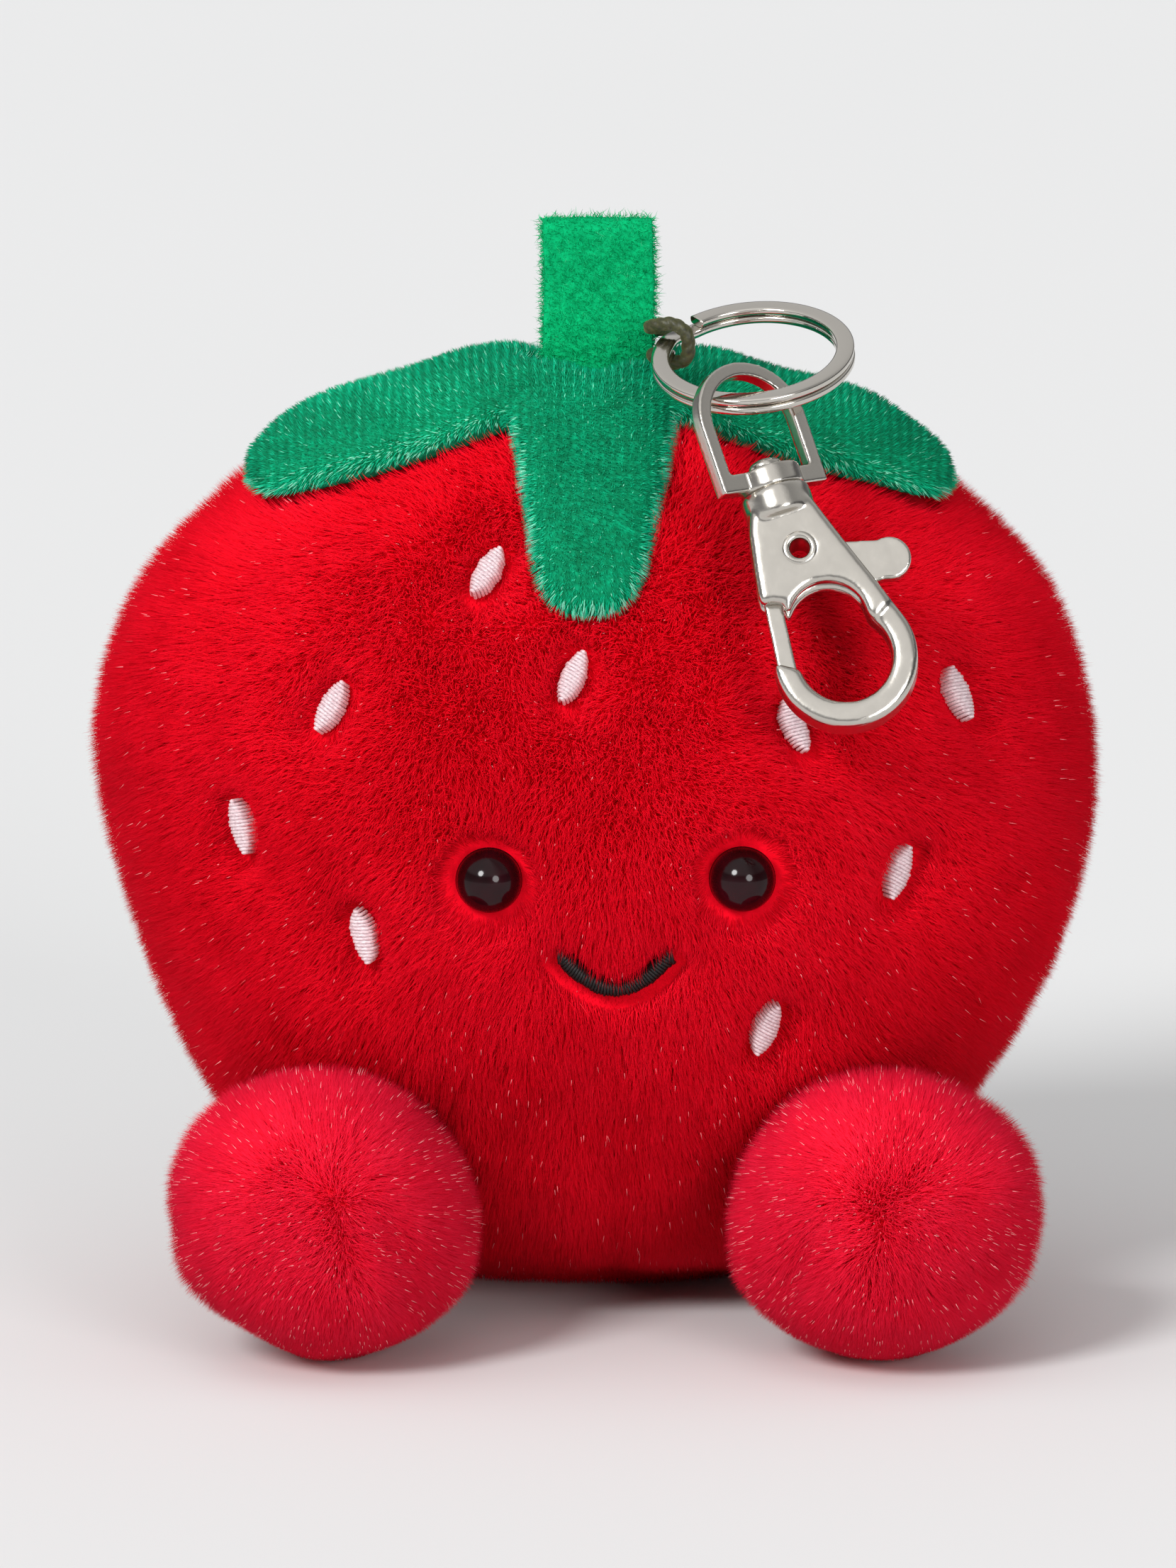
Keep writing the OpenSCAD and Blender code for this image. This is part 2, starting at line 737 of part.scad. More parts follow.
// The hollow rivet that the gate turns on.
module pivot_rivet() {
    flange_r = 1.75;
    flange_h = 0.3;
    color([0.82, 0.81, 0.78])
        in_clasp(hook_turn)
        translate([pivot[0], 0, pivot[1]])
        rotate([90, 0, 0])
        difference() {
            union() {
                cylinder(d = rivet_d, h = shell_t + 2 * flange_h, center = true, $fn = 48);
                for (side = [-1, 1])
                    translate([0, 0, side * (shell_t + flange_h) / 2])
                    cylinder(r = flange_r, h = flange_h, center = true, $fn = 48);
            }
            cylinder(d = rivet_hole_d, h = shell_t + 2, center = true, $fn = 48);
        }
}

// A hairpin of spring wire in the channel over the gate, bearing on barrel and thumb tab.
module gate_spring() {
    wire_d = 0.4;
    color([0.6, 0.6, 0.58])
        in_clasp(hook_turn)
        cord_tube([[4, 0, -15.9], [3.4, 0, -14.9], [2.2, 0, -14.15], [0.6, 0, -13.95],
            [-0.9, 0, -14.2]], wire_d, 8);
}

front_panel();
back_panel();
base_panel();
body_filling();
bead_pouch();
left_foot_skin();
right_foot_skin();
left_foot_filling();
right_foot_filling();
calyx_top();
calyx_wadding();
calyx_underside();
stem_tab();
ring_cord();
cord_knot();
left_eye();
right_eye();
left_eye_washer();
right_eye_washer();
mouth_stitching();
seed_stitching_front();
seed_stitching_back();
split_ring();
swivel_bail();
swivel_post();
hook_body();
gate_lever();
pivot_rivet();
gate_spring();
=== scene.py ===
"""Looks of the plush strawberry keychain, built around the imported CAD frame. Metres, +Z up, face to -Y.

The soft skins take their shape from the CAD solids by ray casting, swell in a short cloth
simulation, and carry a pile of real tapered fibres. The metal parts are rounded copies of
their CAD nodes or fresh sweeps on the same axes.
"""

import itertools
import math

import bmesh
import bpy
import numpy as np
from mathutils import Matrix, Vector
from mathutils.bvhtree import BVHTree


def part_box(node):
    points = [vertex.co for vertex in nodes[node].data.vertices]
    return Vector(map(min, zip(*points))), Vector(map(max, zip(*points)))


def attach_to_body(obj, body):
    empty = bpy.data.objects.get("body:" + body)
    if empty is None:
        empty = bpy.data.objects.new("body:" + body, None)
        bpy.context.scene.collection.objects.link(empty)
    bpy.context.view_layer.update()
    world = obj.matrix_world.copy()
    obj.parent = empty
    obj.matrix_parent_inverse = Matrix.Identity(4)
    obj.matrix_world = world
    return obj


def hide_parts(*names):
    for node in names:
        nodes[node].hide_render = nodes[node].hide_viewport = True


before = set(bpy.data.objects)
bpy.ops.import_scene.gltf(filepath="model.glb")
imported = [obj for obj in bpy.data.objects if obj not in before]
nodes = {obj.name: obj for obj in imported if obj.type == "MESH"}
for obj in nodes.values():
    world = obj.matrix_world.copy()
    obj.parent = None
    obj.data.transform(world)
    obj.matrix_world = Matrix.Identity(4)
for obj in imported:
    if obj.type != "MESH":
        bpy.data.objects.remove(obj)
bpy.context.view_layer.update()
scene = bpy.context.scene
MM = 0.001
FIBRE_UV = "OFBake"


# ---- camera and lights


def look_from(name, data, place, target):
    """A camera or lamp at place that points to target, both in metres."""
    ob = bpy.data.objects.new(name, data)
    ob.location = place
    ob.rotation_euler = (Vector(target) - Vector(place)).to_track_quat("-Z", "Y").to_euler()
    scene.collection.objects.link(ob)
    return ob


def make_camera():
    elevation = math.radians(11)
    distance = 3.0
    width_seen = 0.1547
    target = Vector((-0.5, 6, 52)) * MM
    lens = bpy.data.cameras.new("camera")
    lens.lens = lens.sensor_width * distance / width_seen
    lens.clip_end = 60
    place = target + distance * Vector((0, -math.cos(elevation), math.sin(elevation)))
    scene.camera = look_from("camera", lens, place, target)


def make_lights():
    """A broad key from the upper left, a low fill from the right, and a bright room with a dim band."""
    for name, energy, angle, place in (("key_light", 2.35, 18, (-0.62, -0.95, 0.72)),
                                       ("front_fill", 1.15, 22, (0.42, -0.9, 0.26))):
        sun = bpy.data.lights.new(name, "SUN")
        sun.energy = energy
        sun.angle = math.radians(angle)
        look_from(name, sun, place, (0, 0, 0))
    world = bpy.data.worlds.new("studio")
    scene.world = world
    world.use_nodes = True
    tree = world.node_tree
    room = tree.nodes["Background"]
    way = tree.nodes.new("ShaderNodeTexCoord")
    parts = tree.nodes.new("ShaderNodeSeparateXYZ")
    tree.links.new(way.outputs["Generated"], parts.inputs[0])
    height = ramp(tree, parts.outputs["Z"], ROOM_BY_HEIGHT)
    turn = tree.nodes.new("ShaderNodeTexGradient")
    turn.gradient_type = "RADIAL"
    tree.links.new(way.outputs["Generated"], turn.inputs[0])
    around = ramp(tree, turn.outputs["Fac"], ROOM_BY_TURN)
    tree.links.new(product(tree, height, around), room.inputs[0])
    room.inputs[1].default_value = 0.95


make_camera()
scene.view_settings.view_transform = "Standard"
scene.view_settings.look = "None"


# ---- materials


def make_material(name, colour, **inputs):
    """A Principled material with constant values on its own sockets. Returns (material, tree, shader)."""
    mat = bpy.data.materials.new(name)
    mat.use_nodes = True
    tree = mat.node_tree
    shader = tree.nodes["Principled BSDF"]
    shader.inputs["Base Color"].default_value = (*colour, 1)
    for key, value in inputs.items():
        socket = shader.inputs[key.replace("_", " ").title().replace("Ior", "IOR")]
        socket.default_value = (*value, 1) if isinstance(value, tuple) else value
    mat.diffuse_color = (*colour, 1)
    return mat, tree, shader


def ramp(tree, source, stops):
    """A colour ramp over a 0 to 1 output. stops is a list of (place, colour)."""
    node = tree.nodes.new("ShaderNodeValToRGB")
    while len(node.color_ramp.elements) < len(stops):
        node.color_ramp.elements.new(0.5)
    for element, (place, colour) in zip(node.color_ramp.elements, stops):
        element.position = place
        element.color = (*colour, 1)
    tree.links.new(source, node.inputs[0])
    return node.outputs[0]


def place_output(tree):
    """Object coordinates: the row frame in metres, the same at every pose."""
    return tree.nodes.new("ShaderNodeTexCoord").outputs["Object"]


def noise(tree, scale, detail=3.0, rough=0.55, stretch=None):
    node = tree.nodes.new("ShaderNodeTexNoise")
    node.inputs["Scale"].default_value = scale
    node.inputs["Detail"].default_value = detail
    node.inputs["Roughness"].default_value = rough
    source = place_output(tree)
    if stretch:
        mapping = tree.nodes.new("ShaderNodeMapping")
        mapping.inputs["Scale"].default_value = stretch
        tree.links.new(source, mapping.inputs[0])
        source = mapping.outputs[0]
    tree.links.new(source, node.inputs["Vector"])
    return node.outputs["Fac"]


def voronoi(tree, scale):
    node = tree.nodes.new("ShaderNodeTexVoronoi")
    node.inputs["Scale"].default_value = scale
    tree.links.new(place_output(tree), node.inputs["Vector"])
    return node.outputs["Distance"]


def product(tree, a, b):
    """Colour a times colour b."""
    node = tree.nodes.new("ShaderNodeMix")
    node.data_type = "RGBA"
    node.blend_type = "MULTIPLY"
    node.inputs["Factor"].default_value = 1.0
    tree.links.new(a, node.inputs[6])
    tree.links.new(b, node.inputs[7])
    return node.outputs[2]


def mottle(tree, shader, tone, dark, light, low=0.3, high=0.7):
    """Base colour from dark to light by a 0 to 1 output."""
    tree.links.new(ramp(tree, tone, [(low, dark), (high, light)]), shader.inputs["Base Color"])


def bump(tree, shader, height, distance, strength=0.6):
    node = tree.nodes.new("ShaderNodeBump")
    node.inputs["Strength"].default_value = strength
    node.inputs["Distance"].default_value = distance
    tree.links.new(height, node.inputs["Height"])
    tree.links.new(node.outputs[0], shader.inputs["Normal"])


def cloth_material(name, dark, light, scale, **inputs):
    """Fine irregular cloth: two tones and a soft bump."""
    mat, tree, shader = make_material(name, light, **inputs)
    mottle(tree, shader, noise(tree, scale, 4), dark, light)
    bump(tree, shader, noise(tree, scale * 2.5, 3), 0.0002)
    return mat


def fibre_material(name, tints, root_shade, **inputs):
    """Colour of a fibre: its tint over u, and from shaded root to bright tip over v."""
    mat, tree, shader = make_material(name, tints[len(tints) // 2][1], **inputs)
    uv = tree.nodes.new("ShaderNodeUVMap")
    uv.uv_map = FIBRE_UV
    parts = tree.nodes.new("ShaderNodeSeparateXYZ")
    tree.links.new(uv.outputs[0], parts.inputs[0])
    tint = ramp(tree, parts.outputs[0], tints)
    shade = ramp(tree, parts.outputs[1],
                 [(0.0, (root_shade,) * 3), (0.5, (0.95, 0.95, 0.95)), (1.0, (1.0, 1.0, 1.0))])
    tree.links.new(product(tree, tint, shade), shader.inputs["Base Color"])
    return mat


def metal_material(name, colour, rough_low, rough_high, grain):
    """Nickel plate over a casting or wire: fine grain and a little change of polish."""
    mat, tree, shader = make_material(name, colour, metallic=1.0)
    polish = tree.nodes.new("ShaderNodeMapRange")
    tree.links.new(noise(tree, 900, 3), polish.inputs[0])
    polish.inputs["To Min"].default_value = rough_low
    polish.inputs["To Max"].default_value = rough_high
    tree.links.new(polish.outputs[0], shader.inputs["Roughness"])
    bump(tree, shader, noise(tree, 2600, 2), 0.00003, grain)
    return mat


ROOM_BY_HEIGHT = [(0.0, (0.55, 0.55, 0.56)), (0.16, (0.30, 0.30, 0.31)), (0.34, (0.22, 0.22, 0.23)),
                  (0.46, (1.0, 1.0, 1.0)), (1.0, (1.0, 1.0, 1.0))]
ROOM_BY_TURN = [(0.0, (0.8, 0.8, 0.8)), (0.12, (1.0, 1.0, 1.0)), (0.3, (1.0, 1.0, 1.0)),
                (0.4, (0.35, 0.35, 0.35)), (0.62, (0.6, 0.6, 0.6)), (1.0, (0.8, 0.8, 0.8))]
make_lights()

# The pale pink top stops of the body and foot tints are a painted glint colour, reached only by the glint
# fibres.
BODY_TINTS = [(0.0, (0.62, 0.0005, 0.008)), (0.35, (0.84, 0.0016, 0.014)),
              (0.75, (0.96, 0.005, 0.026)), (0.9, (0.97, 0.03, 0.05)), (0.97, (1.0, 0.34, 0.36))]
FOOT_TINTS = [(0.0, (0.72, 0.002, 0.018)), (0.35, (0.88, 0.006, 0.036)),
              (0.75, (0.95, 0.016, 0.062)), (0.9, (0.98, 0.11, 0.14)), (0.97, (1.0, 0.42, 0.44))]
# The palest velour stops are painted highlights: the lit edges of the leaves and glints.
VELOUR_TINTS = [(0.0, (0.0, 0.16, 0.070)), (0.35, (0.0, 0.34, 0.16)),
                (0.7, (0.0, 0.56, 0.29)), (0.9, (0.06, 0.78, 0.46)), (1.0, (0.34, 0.92, 0.68))]
FELT_TINTS = [(0.0, (0.0, 0.28, 0.09)), (0.5, (0.002, 0.50, 0.18)),
              (0.9, (0.02, 0.62, 0.26)), (1.0, (0.10, 0.72, 0.38))]

body_pile_mat = fibre_material("body_pile", BODY_TINTS, 0.85, roughness=0.6, specular_ior_level=0.05)
foot_pile_mat = fibre_material("foot_pile", FOOT_TINTS, 0.85, roughness=0.6, specular_ior_level=0.08)
velour_pile_mat = fibre_material("velour_pile", VELOUR_TINTS, 0.75, roughness=0.45,
                                 specular_ior_level=0.12)
felt_pile_mat = fibre_material("felt_fibres", FELT_TINTS, 0.9, roughness=0.8, specular_ior_level=0.06)
body_skin_mat = cloth_material("body_backing", (0.62, 0.001, 0.010), (0.86, 0.002, 0.016), 700,
                               roughness=0.85, specular_ior_level=0.05)
foot_skin_mat = cloth_material("foot_backing", (0.76, 0.004, 0.018), (0.94, 0.012, 0.036), 700,
                               roughness=0.85, specular_ior_level=0.05)
filling_mat = cloth_material("polyester_filling", (0.72, 0.72, 0.70), (0.92, 0.92, 0.90), 350,
                             roughness=0.9, sheen_weight=0.4)
pouch_mat = cloth_material("bead_pouch_cloth", (0.62, 0.60, 0.52), (0.82, 0.80, 0.74), 900,
                           roughness=0.9)
knot_mat = cloth_material("cord_thread", (0.010, 0.010, 0.002), (0.045, 0.040, 0.008), 1500,
                          roughness=0.6, sheen_weight=0.3)
nickel_mat = metal_material("nickel_plate", (0.56, 0.53, 0.48), 0.14, 0.26, 0.3)
wire_mat = metal_material("nickel_wire", (0.60, 0.57, 0.52), 0.07, 0.16, 0.12)
spring_mat = metal_material("spring_steel", (0.55, 0.55, 0.56), 0.2, 0.35, 0.2)


def eye_material():
    """Glossy black plastic, mottled at random, with a faint wine-red tone painted in as a reflection of the
    red plush.
    """
    mat, tree, shader = make_material("eye_plastic", (0.004, 0.001, 0.002), roughness=0.10,
                                      specular_ior_level=0.25)
    # the lighter, wine-red end of this mottle is a painted reflection of the plush
    mottle(tree, shader, noise(tree, 260, 2), (0.004, 0.0008, 0.001), (0.020, 0.0018, 0.004), 0.3, 0.8)
    return mat


def washer_material():
    mat, tree, shader = make_material("washer_plastic", (0.8, 0.8, 0.78), roughness=0.4)
    mottle(tree, shader, noise(tree, 500, 3), (0.74, 0.74, 0.72), (0.86, 0.86, 0.84))
    bump(tree, shader, noise(tree, 1800, 2), 0.00003)
    return mat


def thread_material(name, dark, light, rough, **inputs):
    """Embroidery thread: fine twisted filaments."""
    mat, tree, shader = make_material(name, light, roughness=rough, **inputs)
    mottle(tree, shader, noise(tree, 3200, 3, stretch=(1, 1, 2.2)), dark, light, 0.35, 0.65)
    bump(tree, shader, noise(tree, 5200, 2), 0.00004, 0.5)
    return mat


def velour_material():
    """Crushed velour backing: fine dots over clouds of emerald."""
    mat, tree, shader = make_material("velour_backing", (0.0, 0.2, 0.085), roughness=0.75,
                                      specular_ior_level=0.1)
    tone = noise(tree, 420, 4)
    dots = voronoi(tree, 1500)
    base = ramp(tree, tone, [(0.3, (0.0, 0.20, 0.09)), (0.7, (0.0, 0.36, 0.17))])
    knit = ramp(tree, dots, [(0.1, (1.0, 1.0, 1.0)), (0.7, (0.55, 0.6, 0.55))])
    tree.links.new(product(tree, base, knit), shader.inputs["Base Color"])
    bump(tree, shader, dots, 0.0002)
    return mat


def felt_material():
    mat, tree, shader = make_material("stem_felt", (0.0, 0.45, 0.16), roughness=0.92,
                                      specular_ior_level=0.08)
    tone = noise(tree, 900, 6, 0.7)
    clouds = noise(tree, 160, 3)
    base = ramp(tree, tone, [(0.3, (0.0, 0.30, 0.10)), (0.7, (0.002, 0.54, 0.20))])
    cloud = ramp(tree, clouds, [(0.3, (0.82, 0.82, 0.82)), (0.7, (1.0, 1.0, 1.0))])
    tree.links.new(product(tree, base, cloud), shader.inputs["Base Color"])
    bump(tree, shader, tone, 0.0004, 0.8)
    return mat


def cord_material():
    """Waxed olive cord with a low gloss."""
    mat, tree, shader = make_material("olive_cord", (0.045, 0.042, 0.008), roughness=0.5,
                                      sheen_weight=0.2, sheen_tint=(0.8, 0.8, 0.4))
    mottle(tree, shader, noise(tree, 2400, 3), (0.008, 0.010, 0.002), (0.045, 0.044, 0.009))
    bump(tree, shader, noise(tree, 4200, 2), 0.00006)
    return mat


eye_mat = eye_material()
washer_mat = washer_material()
white_thread_mat = thread_material("white_thread", (0.50, 0.36, 0.39), (0.74, 0.64, 0.66), 0.45,
                                   sheen_weight=0.3)
black_thread_mat = thread_material("black_thread", (0.002, 0.0015, 0.0015), (0.010, 0.008, 0.008), 0.5,
                                   specular_ior_level=0.25)
velour_mat = velour_material()
felt_mat = felt_material()
cord_mat = cord_material()

# ---- meshes


def add_mesh(name, verts, faces, material):
    """A mesh object from arrays in metres; every face has the same number of corners."""
    verts = np.ascontiguousarray(verts, np.float32)
    faces = np.ascontiguousarray(faces, np.int32)
    count, corners = faces.shape
    me = bpy.data.meshes.new(name)
    me.vertices.add(len(verts))
    me.vertices.foreach_set("co", verts.ravel())
    me.loops.add(count * corners)
    me.loops.foreach_set("vertex_index", faces.ravel())
    me.polygons.add(count)
    me.polygons.foreach_set("loop_start", np.arange(0, count * corners, corners, dtype=np.int32))
    me.update(calc_edges=True)
    me.polygons.foreach_set("use_smooth", np.ones(count, bool))
    return dressed(me, material)


def dressed(me, material):
    """A new object in the scene with mesh me, named after it, in one material."""
    me.materials.clear()
    me.materials.append(material)
    ob = bpy.data.objects.new(me.name, me)
    scene.collection.objects.link(ob)
    return ob


def triples(items, key):
    """The three-part values of a mesh's items as rows."""
    out = np.zeros(len(items) * 3, np.float32)
    items.foreach_get(key, out)
    return out.reshape(-1, 3).astype(float)


def coords(ob):
    return triples(ob.data.vertices, "co")


def set_coords(ob, co):
    ob.data.vertices.foreach_set("co", np.ascontiguousarray(co, np.float32).ravel())
    ob.data.update()


def vertex_normals(ob):
    return triples(ob.data.vertex_normals, "vector")


def unit(v):
    return v / np.maximum(np.linalg.norm(v, axis=-1, keepdims=True), 1e-12)


def along_surface(v, normal):
    """The part of vectors v that lies in the surface with these normals."""
    return v - normal * np.sum(v * normal, axis=1)[:, None]


def baked(ob):
    """Replaces ob's mesh by the one its modifiers give."""
    deps = bpy.context.evaluated_depsgraph_get()
    made = bpy.data.meshes.new_from_object(ob.evaluated_get(deps))
    old = ob.data
    ob.modifiers.clear()
    ob.data = made
    made.name = ob.name
    bpy.data.meshes.remove(old)
    made.polygons.foreach_set("use_smooth", np.ones(len(made.polygons), bool))
    made.update()
    return ob


def cad_copy(name, sources, material):
    """One welded mesh from CAD nodes, ready for modifiers."""
    bm = bmesh.new()
    for n in sources:
        bm.from_mesh(nodes[n].data)
    bmesh.ops.remove_doubles(bm, verts=bm.verts, dist=1e-6)
    me = bpy.data.meshes.new(name)
    bm.to_mesh(me)
    bm.free()
    return dressed(me, material)


def recast(name, sources, material, voxel, factor, rounds):
    """CAD nodes as one even mesh, with its edges rounded by smoothing."""
    ob = cad_copy(name, sources, material)
    mod = ob.modifiers.new("even", "REMESH")
    mod.mode = "VOXEL"
    mod.voxel_size = voxel * MM
    mod = ob.modifiers.new("round", "SMOOTH")
    mod.factor, mod.iterations = factor, rounds
    return baked(ob)


def sealed(ob, caps=(), weld=0.0):
    """Closes ob's rings of vertices or welds its near points, and turns its faces outward."""
    bm = bmesh.new()
    bm.from_mesh(ob.data)
    bm.verts.ensure_lookup_table()
    for ring in caps:
        bm.faces.new([bm.verts[k] for k in ring])
    bmesh.ops.remove_doubles(bm, verts=bm.verts, dist=weld)
    bmesh.ops.recalc_face_normals(bm, faces=bm.faces)
    bm.to_mesh(ob.data)
    bm.free()
    return ob


def sleeve(rows, sides):
    """Quads of a tube: rows of rings with as many points as sides."""
    return np.array([[i * sides + k, i * sides + (k + 1) % sides, (i + 1) * sides + (k + 1) % sides,
                      (i + 1) * sides + k] for i in range(rows - 1) for k in range(sides)])


def end_rings(rows, sides):
    return range(sides), range((rows - 1) * sides, rows * sides)


def attach(ob, body, slot, *replaced):
    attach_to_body(ob, body)
    if replaced:
        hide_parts(*replaced)


def surface_tree(ob):
    return BVHTree.FromObject(ob, bpy.context.evaluated_depsgraph_get())


def tree_of(names):
    """A BVH over CAD nodes."""
    verts, faces, start = [], [], 0
    for n in names:
        me = nodes[n].data
        verts += [v.co[:] for v in me.vertices]
        faces += [[start + i for i in p.vertices] for p in me.polygons]
        start = len(verts)
    return BVHTree.FromPolygons(verts, faces)


def cubed_sphere(n):
    """Even quads over a unit sphere: (directions, quads)."""
    grid = np.tan(np.linspace(-math.pi / 4, math.pi / 4, n + 1))
    index, points, quads = {}, [], []
    for axis in range(3):
        for side in (-1, 1):
            ids = np.zeros((n + 1, n + 1), int)
            for i, a in enumerate(grid):
                for j, b in enumerate(grid):
                    p = np.zeros(3)
                    p[axis], p[(axis + 1) % 3], p[(axis + 2) % 3] = side, a, b
                    key = tuple(np.round(p, 6))
                    if key not in index:
                        index[key] = len(points)
                        points.append(p / np.linalg.norm(p))
                    ids[i, j] = index[key]
            for i in range(n):
                for j in range(n):
                    q = [ids[i, j], ids[i + 1, j], ids[i + 1, j + 1], ids[i, j + 1]]
                    quads.append(q if side > 0 else q[::-1])
    return np.array(points), np.array(quads)


def smoothed(verts, quads, rounds, share=0.5):
    """Laplacian smoothing along the quads' edges."""
    edges = np.concatenate([quads[:, [0, 1]], quads[:, [1, 2]], quads[:, [2, 3]], quads[:, [3, 0]]])
    count = np.bincount(edges[:, 0], minlength=len(verts)) + np.bincount(edges[:, 1], minlength=len(verts))
    for _ in range(rounds):
        total = np.zeros_like(verts)
        for k in range(3):
            total[:, k] = np.bincount(edges[:, 0], verts[edges[:, 1], k], len(verts)) \
                + np.bincount(edges[:, 1], verts[edges[:, 0], k], len(verts))
        verts = verts + share * (total / count[:, None] - verts)
    return verts


def outer_form(names, centre, grid, rounds):
    """The outside of CAD nodes seen from centre, as clean quads."""
    reach, missed = 0.2, 0.01
    tree = tree_of(names)
    directions, quads = cubed_sphere(grid)
    radius = np.empty(len(directions))
    for i, d in enumerate(directions):
        far = Vector(d) * reach + Vector(centre)
        hit = tree.ray_cast(far, -Vector(d))
        radius[i] = reach - hit[3] if hit[0] is not None else missed
    verts = np.array(centre) + directions * radius[:, None]
    return smoothed(verts, quads, rounds), quads


def near_line(points, a, b):
    """Distance of points from the segment a-b, and the way away from it."""
    ab = b - a
    t = np.clip(((points - a) @ ab) / max(ab @ ab, 1e-12), 0, 1)
    away = points - (a + t[:, None] * ab)
    d = np.linalg.norm(away, axis=1)
    return d, away / np.maximum(d, 1e-9)[:, None]


def lattice_noise(points, size, seed):
    """Smooth random vectors between -1 and 1, about one swing per size."""
    n = 24
    table = np.random.default_rng(seed).uniform(-1, 1, (n, n, n, 3))
    q = points / size + 1000.0
    cell = np.floor(q).astype(int)
    f = q - cell
    f = f * f * (3 - 2 * f)
    out = np.zeros((len(points), 3))
    for corner in itertools.product((0, 1), repeat=3):
        share = np.prod(np.where(np.array(corner) == 1, f, 1 - f), axis=1)
        i = (cell + np.array(corner)) % n
        out += share[:, None] * table[i[:, 0], i[:, 1], i[:, 2]]
    return out


# ---- where the stitches are


def islands(name):
    """Vertex arrays of the separate solids in a CAD node."""
    bm = bmesh.new()
    bm.from_mesh(nodes[name].data)
    bmesh.ops.remove_doubles(bm, verts=bm.verts, dist=1e-6)
    left, found = set(bm.verts), []
    while left:
        start = min(left, key=lambda v: v.index)
        group, queue = {start}, [start]
        while queue:
            for e in queue.pop().link_edges:
                for v in e.verts:
                    if v not in group:
                        group.add(v)
                        queue.append(v)
        left -= group
        found.append(np.array([v.co[:] for v in sorted(group, key=lambda v: v.index)]))
    bm.free()
    return found


def own_axes(points, body_middle):
    """(middle, long axis, cross axis, outward normal, half length, half width) of a stitch bar."""
    middle = points.mean(0)
    rel = points - middle
    _, axes = np.linalg.eigh(rel.T @ rel)
    long_axis, normal = axes[:, 2], axes[:, 0]
    if normal @ (middle - body_middle) < 0:
        normal = -normal
    if long_axis[2] < 0:
        long_axis = -long_axis
    cross_axis = np.cross(normal, long_axis)
    return (middle, long_axis, cross_axis, normal,
            np.abs(rel @ long_axis).max(), np.abs(rel @ cross_axis).max())


BODY_MIDDLE = np.array([0.0, 8.0, 46.0]) * MM
CROWN = np.array([0.4, 10, 91]) * MM
EYE_R = 3.2
SIDES = ("left", "right")
seeds = [own_axes(p, BODY_MIDDLE)
         for n in ("seed_stitching_front", "seed_stitching_back") for p in islands(n)]


def mouth_line():
    """The middle of the smile's thread from corner to corner."""
    co = np.array([v.co[:] for v in nodes["mouth_stitching"].data.vertices])
    low, high = co[:, 0].min(), co[:, 0].max()
    cuts = np.linspace(low, high, 20)
    line = [co[(co[:, 0] >= a - 1e-9) & (co[:, 0] <= b + 1e-9)].mean(0)
            for a, b in zip(cuts[:-1], cuts[1:])]
    return np.array(line)


mouth = mouth_line()
eyes = []
for side in SIDES:
    low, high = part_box(f"{side}_eye")
    eyes.append(np.array([(low.x + high.x) / 2, low.y + EYE_R * MM, (low.z + high.z) / 2]))

# ---- fibres


def scatter(ob, per_mm2, rng):
    """Even random places on ob: (points, normals)."""
    me = ob.data
    me.calc_loop_triangles()
    tri = np.zeros(len(me.loop_triangles) * 3, np.int32)
    me.loop_triangles.foreach_get("vertices", tri)
    tri = tri.reshape(-1, 3)
    co, normal = coords(ob), vertex_normals(ob)
    a, b, c = co[tri[:, 0]], co[tri[:, 1]], co[tri[:, 2]]
    area = np.linalg.norm(np.cross(b - a, c - a), axis=1) / 2
    total = area.sum()
    count = int(total / MM ** 2 * per_mm2)
    pick = np.searchsorted(np.cumsum(area), (np.arange(count) + rng.random(count)) / count * total)
    pick = np.minimum(pick, len(tri) - 1)
    u, v = rng.random(count), rng.random(count)
    flip = u + v > 1
    u[flip], v[flip] = 1 - u[flip], 1 - v[flip]
    w = 1 - u - v
    t = tri[pick]
    points = co[t[:, 0]] * w[:, None] + co[t[:, 1]] * u[:, None] + co[t[:, 2]] * v[:, None]
    out = normal[t[:, 0]] * w[:, None] + normal[t[:, 1]] * u[:, None] + normal[t[:, 2]] * v[:, None]
    return points, unit(out)


FIBRE_FACES = {
    1: np.array([[0, 1, 3], [1, 2, 3], [2, 0, 3]]),
    2: np.array([[0, 1, 4], [0, 4, 3], [1, 2, 5], [1, 5, 4], [2, 0, 3], [2, 3, 5],
                 [3, 4, 6], [4, 5, 6], [5, 3, 6]]),
}
FIBRES_PER_PIECE = {1: 64000, 2: 22000}
LOWEST_FIBRE = 0.15


